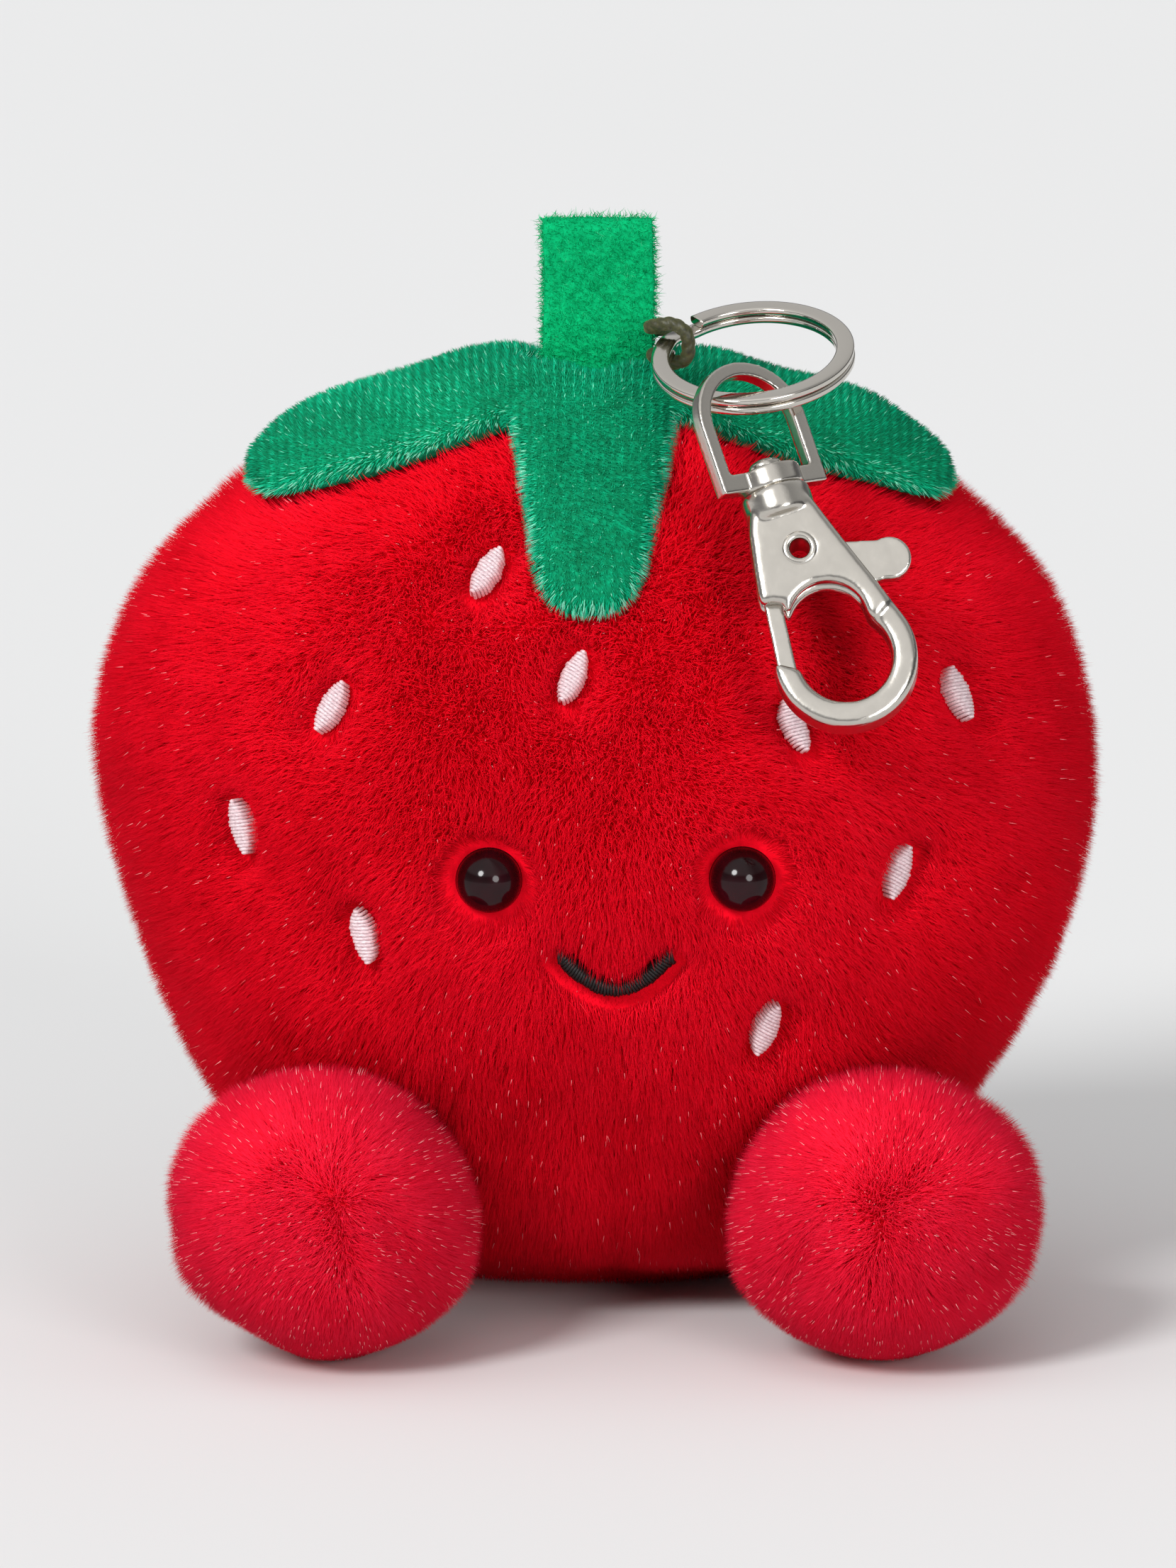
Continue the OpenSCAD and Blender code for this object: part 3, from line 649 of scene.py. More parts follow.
def grow(name, body, slot, material, roots, lower, upper, length, width, tint, rng):
    """Tapered three-sided fibres. Their halves run along lower and upper, or all along lower."""
    parts = 1 if upper is None else 2
    per_piece = FIBRES_PER_PIECE[parts]
    order = rng.permutation(len(roots))
    for piece, start in enumerate(range(0, len(roots), per_piece)):
        pick = order[start:start + per_piece]
        n = len(pick)
        p, d, size = roots[pick], lower[pick], length[pick][:, None]
        side = unit(np.cross(d, unit(rng.normal(size=(n, 3)))))
        cross = np.cross(d, side)
        r = width[pick][:, None] / 2
        rows = []
        stops = [(0.0, 1.0)] if parts == 1 else [(0.0, 1.0), (0.5, 0.8)]
        for share, thick in stops:
            base = p + d * size * share
            for k in range(3):
                a = 2 * math.pi * k / 3
                rows.append(base + r * thick * (side * math.cos(a) + cross * math.sin(a)))
        tip = p + d * size if parts == 1 else p + d * size * 0.5 + upper[pick] * size * 0.5
        rows.append(tip)
        verts = np.stack(rows, axis=1)
        per_fibre = verts.shape[1]
        verts = verts.reshape(-1, 3)
        verts[:, 2] = np.maximum(verts[:, 2], LOWEST_FIBRE * MM)
        local = FIBRE_FACES[parts]
        faces = (local[None] + per_fibre * np.arange(n)[:, None, None]).reshape(-1, 3)
        ob = add_mesh(f"{name}_{piece}" if len(roots) > per_piece else name, verts, faces, material)
        level = np.array([0.0] * 3 + ([0.5] * 3 if parts == 2 else []) + [1.0])
        uv = np.zeros((n, len(local), 3, 2), np.float32)
        uv[..., 0] = tint[pick][:, None, None]
        uv[..., 1] = level[local][None]
        uv[0, 0] = [(0, 0), (1, 0), (1, 1)]
        uv[0, 1] = [(0, 0), (1, 1), (0, 1)]
        ob.data.uv_layers.new(name=FIBRE_UV).data.foreach_set("uv", uv.ravel())
        attach(ob, body, slot)


def blocked(points, normals, tree, reach):
    """True where something in the tree stands over the surface within reach."""
    out = np.zeros(len(points), bool)
    for i, (p, n) in enumerate(zip(points, normals)):
        out[i] = tree.ray_cast(Vector(p + n * 1e-4), Vector(n), reach)[0] is not None
    return out


# ---- soft skins


def inflate(ob, pinned, pressure, cap, scale=10.0):
    """Swells ob like stuffed cloth, held at its pinned points, and moves no point by more than cap."""
    rest = coords(ob)
    set_coords(ob, rest * scale)
    group = ob.vertex_groups.new(name="held")
    group.add([int(i) for i in np.flatnonzero(pinned)], 1.0, "REPLACE")
    cloth = ob.modifiers.new("swell", "CLOTH")
    s = cloth.settings
    s.quality = 6
    s.mass = 0.3
    s.tension_stiffness = s.compression_stiffness = 30
    s.shear_stiffness = 12
    s.bending_stiffness = 2
    s.air_damping = 3
    s.use_pressure = True
    s.uniform_pressure_force = pressure
    s.effector_weights.gravity = 0
    s.vertex_group_mass = "held"
    cloth.collision_settings.use_self_collision = False
    last_frame = 20
    cloth.point_cache.frame_start, cloth.point_cache.frame_end = 1, last_frame
    for f in range(1, last_frame + 1):
        scene.frame_set(f)
    swollen = coords(ob.evaluated_get(bpy.context.evaluated_depsgraph_get()))
    ob.modifiers.clear()
    ob.vertex_groups.clear()
    scene.frame_set(1)
    move = swollen / scale - rest
    size = np.linalg.norm(move, axis=1, keepdims=True)
    move *= cap * np.tanh(size / cap) / np.maximum(size, 1e-9)
    set_coords(ob, rest + move)


def dimple(distance, depth, reach):
    """How far a stitch pulls the cloth in, at a distance from it. depth and reach are in millimetres."""
    return depth * MM * np.exp(-(distance / (reach * MM)) ** 2)


def finished_skin(ob, slot, plump, *replaced):
    mod = ob.modifiers.new("finer", "SUBSURF")
    mod.levels = mod.render_levels = 1
    baked(ob)
    co = coords(ob)
    co[:, 2] = np.maximum(co[:, 2], 0)
    set_coords(ob, co)
    attach(ob, "plush", slot, *replaced)
    return ob


def make_body_skin():
    verts, quads = outer_form(["front_panel", "back_panel", "base_panel", "body_filling"],
                              BODY_MIDDLE, 44, 2)
    ob = add_mesh("plush_body", verts, quads, body_skin_mat)
    normal = vertex_normals(ob)
    held = np.zeros(len(verts), bool)
    sink = np.zeros(len(verts))
    for middle, long_axis, _, out, half_l, half_w in seeds:
        a, b = middle - long_axis * half_l * 0.6, middle + long_axis * half_l * 0.6
        d, _ = near_line(verts, a - out * MM, b - out * MM)
        sink = np.maximum(sink, dimple(d, 1.3, 3.2))
        held |= d < 1.9 * MM
    for e in eyes:
        d = np.linalg.norm(verts - e, axis=1)
        sink = np.maximum(sink, dimple(d, 1.0, 5.5))
        held |= d < 3.6 * MM
    for a, b in zip(mouth[:-1], mouth[1:]):
        d, _ = near_line(verts, a, b)
        sink = np.maximum(sink, dimple(d, 0.9, 2.6))
        held |= d < 1.9 * MM
    # the dart under the face, deeper towards the seat
    dart_x, dart_top, dart_length = 2 * MM, 26 * MM, 20 * MM
    along = np.clip((dart_top - verts[:, 2]) / dart_length, 0, 1)
    front = verts[:, 1] < BODY_MIDDLE[1]
    sink = np.maximum(sink, along * dimple(verts[:, 0] - dart_x, 1.3, 1.8) * front)
    seat_top, crown_rim = 1.2 * MM, 89 * MM
    held |= (verts[:, 2] < seat_top) | (verts[:, 2] > crown_rim)
    verts = verts - normal * sink[:, None]
    # the stuffing pushes each side out at its own heights, in millimetres
    side = np.clip(verts[:, 0] / (34 * MM), -1, 1)
    z = verts[:, 2] / MM
    right = 0.9 * np.exp(-((z - 55) / 15) ** 2) + np.exp(-((z - 40) / 14) ** 2)
    left = 1.0 * np.exp(-((z - 60) / 9) ** 2) - 0.5 * np.exp(-((z - 36) / 9) ** 2)
    verts[:, 0] += MM * side * np.where(side > 0, right, left)
    set_coords(ob, verts)
    inflate(ob, held, 4.0, 1.5 * MM)
    return finished_skin(ob, "plush_body", 0.85, "front_panel", "back_panel", "base_panel")


def make_foot_skin(side):
    node = f"{side}_foot_skin"
    low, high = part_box(node)
    middle = np.array((low + high) / 2)
    verts, quads = outer_form([node, f"{side}_foot_filling"], middle, 20, 1)
    ob = add_mesh(f"{side}_foot", verts, quads, foot_skin_mat)
    normal = vertex_normals(ob)
    inner = -np.sign(middle[0])
    crease = middle + np.array([inner * 5.5, -13.5, 3]) * MM
    d, _ = near_line(verts, crease, crease + np.array([inner * 4, 3, -9]) * MM)
    sink = dimple(d, 1.2, 2.4)
    sole = unit(verts - middle) @ unit(np.array([0, -0.42, -0.9]))
    sink = np.maximum(sink, 0.25 * MM * np.clip((sole - 0.72) / 0.28, 0, 1))
    verts = verts - normal * sink[:, None]
    # the outer side bulges above a height and tucks in under it, by millimetres
    outward = np.clip(-inner * (verts[:, 0] - middle[0]) / (9 * MM), 0, 1)
    start, bulge, tuck = (13, 2.3, 2.4) if inner > 0 else (10, 1.9, 0.3)
    z = verts[:, 2] / MM
    shift = bulge * np.clip((z - start) / 9, 0, 1) - tuck * np.clip((11 - z) / 8, 0, 1)
    verts[:, 0] -= inner * MM * outward * shift
    set_coords(ob, verts)
    held = (verts[:, 2] < 3 * MM) | (d < 1.5 * MM)
    inflate(ob, held, 4.0, 1.1 * MM)
    return finished_skin(ob, "plush_feet", 0.8, node)


def make_calyx():
    """One velour cover over the padding, with lifted side leaves and a broad front leaf."""
    layers = ["calyx_top", "calyx_wadding", "calyx_underside"]
    ob = recast("velour_calyx", layers, velour_mat, 0.55, 0.6, 8)
    co, normal = coords(ob), vertex_normals(ob)
    lumps = lattice_noise(co, 6 * MM, 31)[:, 0] * 0.25 + lattice_noise(co, 2.2 * MM, 32)[:, 0] * 0.1
    top = np.clip(normal[:, 2] * 2 + 0.6, 0, 1)
    co += normal * (lumps * top * MM)[:, None]
    sideways = co[:, 0] - CROWN[0]
    tip = np.clip((np.abs(sideways) - 17 * MM) / (17 * MM), 0, 1)
    co[:, 2] += 2.3 * MM * tip ** 2 * (3 - 2 * tip) * (co[:, 1] < 16 * MM)
    front = (np.abs(sideways) < 12 * MM) & (co[:, 1] < 5 * MM)
    broad = np.clip((80 * MM - co[:, 2]) / (9 * MM), 0, 1) * front
    co[:, 0] += 0.28 * sideways * broad
    set_coords(ob, co)
    attach(ob, "plush", "velour_green", *layers)
    return ob


# ---- pile


def part_from(points, direction, length, keep, a, b, clear, reach, push):
    """Bends and shortens fibres beside a stitch from a to b, and clears them under it."""
    d, away = near_line(points, a, b)
    share = np.clip((d - clear) / (reach - clear), 0, 1)
    share = share * share * (3 - 2 * share)
    close = d < reach
    direction[close] += away[close] * (push * (1 - share[close]))[:, None]
    length[close] *= 0.45 + 0.55 * share[close]
    keep &= d > clear


def paint_glint_tips(roots, direction, length, width, tint, share, rng):
    """Turns a share of the fibres into short pale tips near the pile's surface: painted glints of light on
    the pile.
    """
    pick = rng.random(len(roots)) < share
    roots[pick] += direction[pick] * (0.80 * length[pick])[:, None]
    length[pick] *= 0.20
    width[pick] *= 0.65
    # 0.96 picks the pale top stop of the tints: a painted glint colour
    tint[pick] = 0.96


def body_pile(skin, calyx, feet):
    rng = np.random.default_rng(11)
    p, n = scatter(skin, 24.0, rng)
    ok = ~((p[:, 2] < 1.0 * MM) & (n[:, 2] < -0.6))
    crown = np.hypot(p[:, 0] - CROWN[0], p[:, 1] - CROWN[1]) < 10 * MM
    ok &= ~(crown & (p[:, 2] > 84 * MM))
    p, n = p[ok], n[ok]
    ok = ~blocked(p, n, surface_tree(calyx), 3.4 * MM)
    for foot in feet:
        near = np.linalg.norm(p - coords(foot).mean(0), axis=1) < 24 * MM
        ok[near] &= ~blocked(p[near], n[near], surface_tree(foot), 1.2 * MM)
    p, n = p[ok], n[ok]
    count = len(p)
    comb = np.stack([0.55 * p[:, 0] / (45 * MM), np.full(count, -0.1), np.full(count, -0.85)], 1)
    comb += 0.55 * lattice_noise(p, 14 * MM, 1) + 0.35 * lattice_noise(p, 5 * MM, 2)
    comb = along_surface(comb, n)
    lean = 0.42 + 0.12 * lattice_noise(p, 8 * MM, 3)[:, :1]
    d = n + comb * lean + 0.16 * lattice_noise(p, 1.5 * MM, 4) + 0.15 * rng.normal(size=(count, 3))
    length = MM * (3.9 + 0.22 * lattice_noise(p, 3 * MM, 5)[:, 0] + 0.22 * rng.normal(size=count))
    length *= np.clip(p[:, 2] / (9 * MM), 0.3, 1)
    keep = np.ones(count, bool)
    for middle, long_axis, _, out, half_l, half_w in seeds:
        base = middle - out * 0.8 * MM
        half_line = long_axis * (half_l - half_w)
        part_from(p, d, length, keep, base - half_line, base + half_line, half_w - 0.35 * MM, 4.2 * MM, 0.9)
    for e in eyes:
        base = e + np.array([0, 0.6, 0]) * MM
        part_from(p, d, length, keep, base, base + np.array([0, 1e-5, 0]), 3.3 * MM, 6.5 * MM, 1.2)
    drop = np.array([0, 0.8, 0]) * MM
    for a, b in zip(mouth[:-1], mouth[1:]):
        part_from(p, d, length, keep, a + drop, b + drop, 0.9 * MM, 2.6 * MM, 0.55)
    d = unit(d)
    flat = np.sum(d * n, axis=1)
    d = unit(d + n * np.clip(0.28 - flat, 0, None)[:, None] * 1.5)
    length = np.clip(length, 1.0 * MM, 5.0 * MM)
    tint = 0.46 + 0.10 * lattice_noise(p, 2.0 * MM, 6)[:, 0] + 0.14 * lattice_noise(p, 9 * MM, 7)[:, 0] \
        + 0.10 * rng.normal(size=count)
    tint = np.clip(tint, 0.02, 0.84)
    width = MM * np.clip(0.14 + 0.02 * rng.normal(size=count), 0.09, 0.2)
    p, n, d, length, tint, width = (x[keep] for x in (p, n, d, length, tint, width))
    roots = p - n * 0.3 * MM
    # a few fibres become pale tips: painted glints
    paint_glint_tips(roots, d, length, width, tint, 0.004, rng)
    grow("body_pile", "plush", "plush_body", body_pile_mat, roots, d, None, length, width, tint, rng)


def foot_pile(side, skin, body, seed):
    rng = np.random.default_rng(seed)
    p, n = scatter(skin, 40.0, rng)
    ok = ~((p[:, 2] < 0.8 * MM) & (n[:, 2] < -0.6))
    p, n = p[ok], n[ok]
    ok = ~blocked(p, n, surface_tree(body), 1.5 * MM)
    p, n = p[ok], n[ok]
    count = len(p)
    middle = coords(skin).mean(0)
    out = unit(p - middle)
    comb = np.stack([0.3 * out[:, 0], np.full(count, -0.15), np.full(count, -0.7)], 1)
    comb += 0.5 * lattice_noise(p, 9 * MM, seed + 1) + 0.4 * lattice_noise(p, 3 * MM, seed + 2)
    comb = along_surface(comb, n)
    clump = lattice_noise(p, 1.7 * MM, seed + 3)
    d = unit(n + comb * 0.5 + 0.12 * clump + 0.14 * rng.normal(size=(count, 3)))
    length = MM * (3.8 + 0.25 * lattice_noise(p, 3 * MM, seed + 4)[:, 0] + 0.25 * rng.normal(size=count))
    length = np.clip(length, 2.5 * MM, 5 * MM) * np.clip(p[:, 2] / (10 * MM), 0.15, 1)
    tint = 0.48 + 0.12 * lattice_noise(p, 2.0 * MM, seed + 5)[:, 0] + 0.10 * rng.normal(size=count)
    tint = np.clip(tint, 0.02, 0.84)
    width = MM * np.clip(0.12 + 0.015 * rng.normal(size=count), 0.08, 0.16)
    roots = p - n * 0.3 * MM
    # a few fibres become pale tips: painted glints
    paint_glint_tips(roots, d, length, width, tint, 0.014, rng)
    grow(f"{side}_foot_pile", "plush", "plush_feet", foot_pile_mat, roots, d, None,
         length, width, tint, rng)


def velour_pile(calyx):
    rng = np.random.default_rng(41)
    p, n = scatter(calyx, 20.0, rng)
    body_side = unit(p - BODY_MIDDLE)
    ok = np.sum(n * body_side, axis=1) > -0.25
    p, n, body_side = p[ok], n[ok], body_side[ok]
    count = len(p)
    fall = unit(along_surface(p - CROWN, n))
    row_pitch, dot_pitch = 0.95 * MM, 0.7 * MM
    wave = lattice_noise(p, 7 * MM, 42)[:, 0] * 0.25 * MM
    row = 0.5 + 0.5 * np.cos(2 * math.pi * (p[:, 0] + wave) / row_pitch)
    along = np.sqrt((p[:, 1] - 10 * MM) ** 2 + (p[:, 2] - 95 * MM) ** 2)
    dot = 0.5 + 0.5 * np.cos(2 * math.pi * along / dot_pitch + 5 * lattice_noise(p, 3 * MM, 43)[:, 1])
    knot = row ** 2 * (0.25 + 0.75 * dot ** 2)
    d = unit(n + 0.4 * fall + 0.2 * lattice_noise(p, 2.5 * MM, 44) + 0.10 * rng.normal(size=(count, 3)))
    edge = np.clip((0.75 - np.sum(n * body_side, axis=1)) / 0.4, 0, 1)
    length = MM * (0.7 + 0.12 * row + 0.45 * edge + 0.08 * rng.normal(size=count))
    length = np.clip(length, 0.3 * MM, 1.5 * MM)
    # painted highlight: leaf edges turned from the body get lighter tints, and a share of fibres there get a
    # pale glint tint
    tint = 0.24 + 0.62 * knot + 0.16 * lattice_noise(p, 8 * MM, 45)[:, 0] \
        + 0.09 * rng.normal(size=count) + 0.4 * edge
    glint = rng.random(count) < 0.01 + 0.10 * edge
    tint[glint] = 0.97
    width = MM * np.clip(0.13 + 0.02 * rng.normal(size=count), 0.08, 0.18)
    grow("velour_pile", "plush", "velour_green", velour_pile_mat, p - n * 0.1 * MM, d, None,
         length, width, np.clip(tint, 0.02, 0.99), rng)


# ---- stitches and eyes


def tube(points, start_side, sides, radius_at):
    """(verts, quads) of a tube along points. radius_at takes a row and an angle round it."""
    ahead = unit(np.gradient(points, axis=0))
    u = np.asarray(start_side, float)
    verts = []
    for i, centre in enumerate(points):
        u = u - ahead[i] * (u @ ahead[i])
        u /= np.linalg.norm(u)
        v = np.cross(ahead[i], u)
        for k in range(sides):
            a = 2 * math.pi * k / sides
            verts.append(centre + radius_at(i, a) * (u * math.cos(a) + v * math.sin(a)))
    return np.array(verts), sleeve(len(points), sides)


def lengths_along(points):
    """The way from the first point to each point of a line."""
    return np.concatenate([[0], np.cumsum(np.linalg.norm(np.diff(points, axis=0), axis=1))])


def joined(pieces):
    verts, faces, start = [], [], 0
    for v, f in pieces:
        verts.append(v)
        faces.append(f + start)
        start += len(v)
    return np.concatenate(verts), np.concatenate(faces)


def satin(middle, along, across, out, half_w, height, thread):
    """One crosswise thread of satin stitch that arches over and dives into the cloth at both ends."""
    s = np.linspace(-1, 1, 11)
    arch = np.sqrt(np.clip(1 - s ** 2, 0, 1)) * height - (np.abs(s) > 0.98) * 0.9 * MM
    slant = 0.16 * half_w * s
    line = middle + np.outer(s * half_w, across) + np.outer(arch, out) + np.outer(slant, along)
    ahead = unit(np.gradient(line, axis=0))
    return tube(line, np.cross(ahead[0], [0.31, 0.17, 0.93]), 6, lambda i, a: thread / 2)


THREAD_D = 0.36


def make_seed_stitches(node, group, name):
    rng = np.random.default_rng(5)
    pieces = []
    for middle, long_axis, cross_axis, out, half_l, half_w in group:
        half_l, half_w = half_l * 1.08, half_w * 1.2
        count = 16
        for k in range(count):
            t = (k + 0.5) / count * 2 - 1
            w = half_w * (1 - abs(t) ** 2.2) ** 0.75
            w = max(w, 0.22 * MM) * (1 + 0.06 * rng.normal())
            base = middle + long_axis * t * (half_l - 0.15 * MM) - out * 0.45 * MM
            pieces.append(satin(base, long_axis, cross_axis, out, w, 0.7 * MM, THREAD_D * MM))
    attach(add_mesh(name, *joined(pieces), white_thread_mat), "plush", "thread_white", node)


def make_mouth():
    rng = np.random.default_rng(6)
    place = lengths_along(mouth)
    count, reach = 46, 0.3 * MM

    def at(s):
        return np.array([np.interp(s, place, mouth[:, i]) for i in range(3)])

    pieces = []
    for k in range(count):
        s = (k + 0.5) / count * place[-1]
        here = at(s)
        along = unit(at(min(s + reach, place[-1])) - at(max(s - reach, 0)))
        out = np.array([0.0, -1.0, 0.0])
        out = unit(out - along * (out @ along))
        across = np.cross(along, out)
        w = 0.72 * MM * (1 + 0.08 * rng.normal())
        pieces.append(satin(here - out * 0.25 * MM, along, across, out, w, 0.75 * MM, THREAD_D * MM))
    ob = add_mesh("smile_stitches", *joined(pieces), black_thread_mat)
    attach(ob, "plush", "thread_black", "mouth_stitching")


def lathe(profile, steps):
    """(verts, quads) of a profile of (radius, height) points turned about local Z."""
    profile = np.asarray(profile, float)
    angle = 2 * math.pi * np.arange(steps) / steps
    ring = np.stack([np.cos(angle), np.sin(angle)], 1)
    verts = np.concatenate([np.column_stack([ring * r, np.full(steps, z)]) for r, z in profile])
    return verts, sleeve(len(profile), steps)


def moved(verts, matrix):
    m = np.array(matrix)
    return verts @ m[:3, :3].T + m[:3, 3]


def make_eye(side, place):
    """A polished dome with a rolled rim on a straight shank."""
    arc = np.linspace(0, math.pi / 2, 20)
    dome = [(EYE_R * math.sin(a), 3.15 * math.cos(a)) for a in arc]
    rim = [(3.28, -0.12), (3.22, -0.32), (2.9, -0.42), (1.2, -0.42), (1.2, -6.4), (0.02, -6.5)]
    verts, faces = lathe([(max(r, 0.02), z) for r, z in dome + rim], 56)
    turn = Matrix.Translation(Vector(place)) @ Matrix.Rotation(math.radians(90), 4, "X")
    ob = sealed(add_mesh(f"{side}_eye_dome", moved(verts * MM, turn), faces, eye_mat), weld=3e-6)
    attach(ob, "plush", "eye_black", f"{side}_eye")


# ---- stem and cord


def make_stem():
    """Folded felt strip with soft, slightly frayed edges."""
    ob = recast("felt_stem", ["stem_tab"], felt_mat, 0.22, 0.5, 3)
    co, normal = coords(ob), vertex_normals(ob)
    rough = lattice_noise(co, 1.1 * MM, 51)[:, 0] * 0.10 + lattice_noise(co, 0.5 * MM, 52)[:, 0] * 0.07
    sway = 0.25 * np.sin((co[:, 2] - CROWN[2]) / (18 * MM) * math.pi)
    co += normal * (rough * MM)[:, None]
    co[:, 0] += sway * MM * 0.6
    co[:, 1] += sway * MM
    set_coords(ob, co)
    attach(ob, "plush", "felt_green", "stem_tab")
    rng = np.random.default_rng(53)
    p, n = scatter(ob, 18.0, rng)
    ok = p[:, 2] > 92 * MM
    p, n = p[ok], n[ok]
    count = len(p)
    d = unit(0.55 * n + 0.7 * unit(rng.normal(size=(count, 3))))
    tip = unit(d + 0.8 * unit(rng.normal(size=(count, 3))) + 0.15 * n)
    length = MM * np.clip(0.75 + 0.3 * rng.normal(size=count), 0.3, 1.6)
    tint = np.clip(0.42 + 0.2 * lattice_noise(p, 1.3 * MM, 54)[:, 0] + 0.18 * rng.normal(size=count), 0, 0.95)
    width = MM * np.clip(0.08 + 0.015 * rng.normal(size=count), 0.05, 0.11)
    grow("felt_fibres", "plush", "felt_green", felt_pile_mat, p - n * 0.05 * MM, d, tip,
         length, width, tint, rng)


CORD_D = 1.4
CORD_POINTS = [
    (2, 11.3, 85.5), (2.2, 11.3, 90), (2.8, 11.9, 93.5), (4.8, 12, 95.9), (6.8, 10.6, 96.8),
    (7.2, 7.4, 97.4), (6.6, 3.6, 98.2), (5.6, 0.4, 98.8), (6.6, -0.9, 99.3), (7.9, -1.45, 99.4),
    (9.05, -1.9, 98.7), (9.35, -1.85, 97.4), (9.15, -1.6, 96.1), (8.2, -0.9, 95.5), (7, -0.2, 95.4),
    (5.9, 0.8, 95.9), (6.3, 3.6, 95.5), (7.1, 7.4, 95.2), (6.9, 10.2, 94.6), (5.4, 11.8, 93.2),
    (4.3, 11.4, 90.5), (4, 11.3, 85.5)]


def spline(points, steps):
    """Catmull-Rom through points, as in the CAD."""
    p = np.array(points, float)
    out = []
    for i in range(len(p) - 1):
        a, b, c, d = p[max(i - 1, 0)], p[i], p[i + 1], p[min(i + 2, len(p) - 1)]
        for f in np.arange(steps) / steps:
            out.append(0.5 * (2 * b + (c - a) * f + (2 * a - 5 * b + 4 * c - d) * f ** 2
                              + (3 * b - a - 3 * c + d) * f ** 3))
    out.append(p[-1])
    return np.array(out)


def make_cord():
    """Three waxed strands laid round each other, on the CAD's route."""
    route = spline(CORD_POINTS, 14) * MM
    place = lengths_along(route)
    sides, lay_length = 28, 3.0 * MM

    def strand_radius(i, a):
        twist = 2 * math.pi * place[i] / lay_length
        return CORD_D / 2 * MM * (0.86 + 0.15 * abs(math.cos(1.5 * (a - twist))))

    verts, faces = tube(route, (1, 0, 0), sides, strand_radius)
    ob = sealed(add_mesh("cord_loop", verts, faces, cord_mat), caps=end_rings(len(route), sides))
    attach(ob, "plush", "cord_olive", "ring_cord")


# ---- metal


RING_CENTRE = np.array([15.7, -5, 96.7])
RING_MEAN_R = 9.1
RING_DIP, RING_ROLL = 19, 5
BAIL_ON_RING = -98
CLASP_TILT, CLASP_LEAN, HANG = 24.5, 20, 0.6
HOOK_TURN = 8
PIVOT_AT = (0.46, 0, -16.8)
RING_FRAME = (Matrix.Translation(Vector(RING_CENTRE * MM))
              @ Matrix.Rotation(math.radians(-RING_ROLL), 4, "Y")
              @ Matrix.Rotation(math.radians(RING_DIP), 4, "X"))


def clasp_frame(turn):
    """The CAD's frame of the clasp, in metres: origin where the bail hangs, -Z down the hook."""
    a = math.radians(BAIL_ON_RING)
    wire = RING_FRAME @ Vector((RING_MEAN_R * MM * math.cos(a), RING_MEAN_R * MM * math.sin(a), 0))
    return (Matrix.Translation(wire)
            @ Matrix.Rotation(math.radians(-CLASP_LEAN), 4, "Y")
            @ Matrix.Rotation(math.radians(-CLASP_TILT), 4, "X")
            @ Matrix.Rotation(math.radians(turn), 4, "Z")
            @ Matrix.Translation((0, 0, HANG * MM)))


def make_ring():
    """Two turns of rounded flat wire, as the CAD winds them."""
    jog, end_angle, pitch, wire_w, wire_t = 30, 128, 0.92, 1.8, 0.88
    span = 720 - jog - 2
    steps, sides = 360, 20
    turned = span * np.arange(steps + 1) / steps
    a = np.radians(end_angle + turned + jog)
    climb = np.clip((turned - (360 - jog)) / jog, 0, 1)
    climb = climb * climb * (3 - 2 * climb)
    z = (climb - 0.5) * pitch
    ang = 2 * math.pi * np.arange(sides) / sides
    power = 0.55
    sec_r = wire_w / 2 * np.sign(np.cos(ang)) * np.abs(np.cos(ang)) ** power
    sec_z = wire_t / 2 * np.sign(np.sin(ang)) * np.abs(np.sin(ang)) ** power
    r = RING_MEAN_R + sec_r[None]
    verts = np.stack([r * np.cos(a)[:, None], r * np.sin(a)[:, None], z[:, None] + sec_z[None]], 2)
    verts = moved(verts.reshape(-1, 3) * MM, RING_FRAME)
    ob = add_mesh("split_ring_wire", verts, sleeve(steps + 1, sides), wire_mat)
    attach(sealed(ob, caps=end_rings(steps + 1, sides)), "ring", "nickel_wire", "split_ring")


def make_cast(name, node, body, voxel, rounds, swell):
    """A CAD metal part with edges rounded as in a tumbled casting. swell makes up what smoothing takes."""
    ob = recast(name, [node], nickel_mat, voxel, 0.5, rounds)
    set_coords(ob, coords(ob) + vertex_normals(ob) * swell * MM)
    attach(ob, body, "nickel_plate", node)


def make_post():
    """The swivel post: a domed head on the collar and a straight shank into the hook."""
    head_z = -7.82
    arc = np.linspace(0, 1, 14)
    dome = [(0.02 + 1.68 * math.sin(a * math.pi / 2), head_z + 0.45 + 0.75 * math.cos(a * math.pi / 2))
            for a in arc]
    low = [(1.7, head_z + 0.12), (1.6, head_z), (1.0, head_z), (1.0, -12.6), (0.02, -12.65)]
    verts, faces = lathe(dome + low, 40)
    ob = add_mesh("post_rivet", moved(verts * MM, clasp_frame(HOOK_TURN)), faces[:, ::-1], nickel_mat)
    attach(ob, "hook", "nickel_plate", "swivel_post")


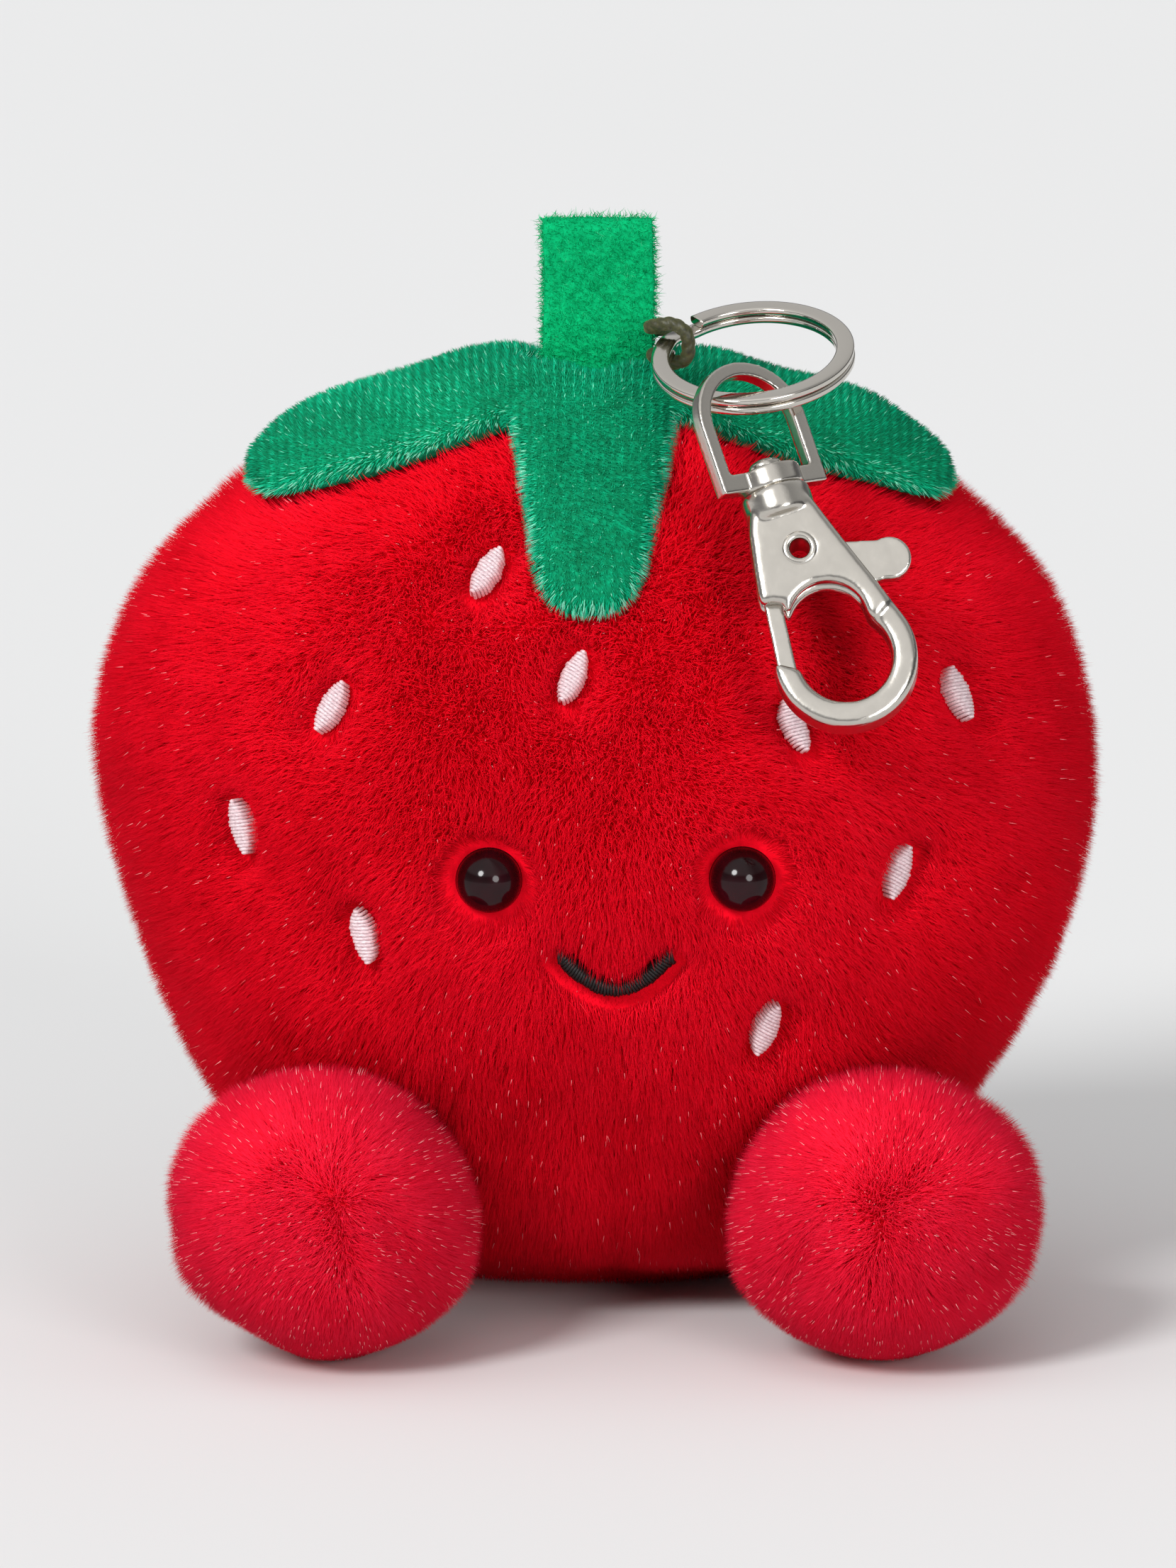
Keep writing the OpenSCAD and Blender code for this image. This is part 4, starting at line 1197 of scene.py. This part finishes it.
def make_pivot():
    """The hollow rivet: rolled flanges on both faces and an open bore."""
    half, flange, bore, shank = 2.2, 1.75, 0.95, 1.25
    roll = [(bore + 0.42 + 0.40 * math.cos(a), half + 0.02 + 0.34 * math.sin(a))
            for a in np.linspace(-0.2, math.pi, 12)]
    profile = [(shank, 0), (shank, half - 0.02), (flange, half), (flange, half + 0.08)] + roll \
        + [(bore, half - 0.1), (bore, 0)]
    mirrored = [(r, -z) for r, z in profile[::-1]]
    verts, faces = lathe(profile + mirrored[1:], 44)
    turn = clasp_frame(HOOK_TURN) @ Matrix.Translation(Vector(PIVOT_AT) * MM) \
        @ Matrix.Rotation(math.radians(90), 4, "X")
    ob = add_mesh("pivot_eyelet", moved(verts * MM, turn), faces[:, ::-1], nickel_mat)
    attach(sealed(ob, weld=2e-6), "hook", "nickel_plate", "pivot_rivet")


# ---- stage and the whole


def make_floor():
    half = 14.0
    verts = np.array([[-half, -half, 0], [half, -half, 0], [half, half, 0], [-half, half, 0]])
    mat, tree, shader = make_material("floor_paper", (0.76, 0.76, 0.76), roughness=0.9,
                                      specular_ior_level=0.1)
    mottle(tree, shader, noise(tree, 3, 2), (0.756, 0.758, 0.760), (0.764, 0.766, 0.768))
    add_mesh("floor", verts, np.array([[0, 1, 2, 3]]), mat)


def paint(name, material):
    """A carried-over CAD node takes a finished material."""
    me = nodes[name].data
    me.materials.clear()
    me.materials.append(material)


make_cord()
body_skin = make_body_skin()
feet = [make_foot_skin(side) for side in SIDES]
calyx_cover = make_calyx()
make_stem()
front_count = len(islands("seed_stitching_front"))
make_seed_stitches("seed_stitching_front", seeds[:front_count], "front_seeds")
make_seed_stitches("seed_stitching_back", seeds[front_count:], "back_seeds")
make_mouth()
for side, place in zip(SIDES, eyes):
    make_eye(side, place)
    paint(f"{side}_eye_washer", washer_mat)
    paint(f"{side}_foot_filling", filling_mat)
make_ring()
make_cast("bail_casting", "swivel_bail", "bail", 0.11, 40, 0.02)
make_cast("hook_casting", "hook_body", "hook", 0.12, 110, 0.242)
make_cast("gate_plate", "gate_lever", "gate", 0.11, 20, 0.044)
make_post()
make_pivot()
paint("body_filling", filling_mat)
paint("bead_pouch", pouch_mat)
paint("cord_knot", knot_mat)
paint("gate_spring", spring_mat)
body_pile(body_skin, calyx_cover, feet)
for side, foot, seed in zip(SIDES, feet, (61, 71)):
    foot_pile(side, foot, body_skin, seed)
velour_pile(calyx_cover)
make_floor()
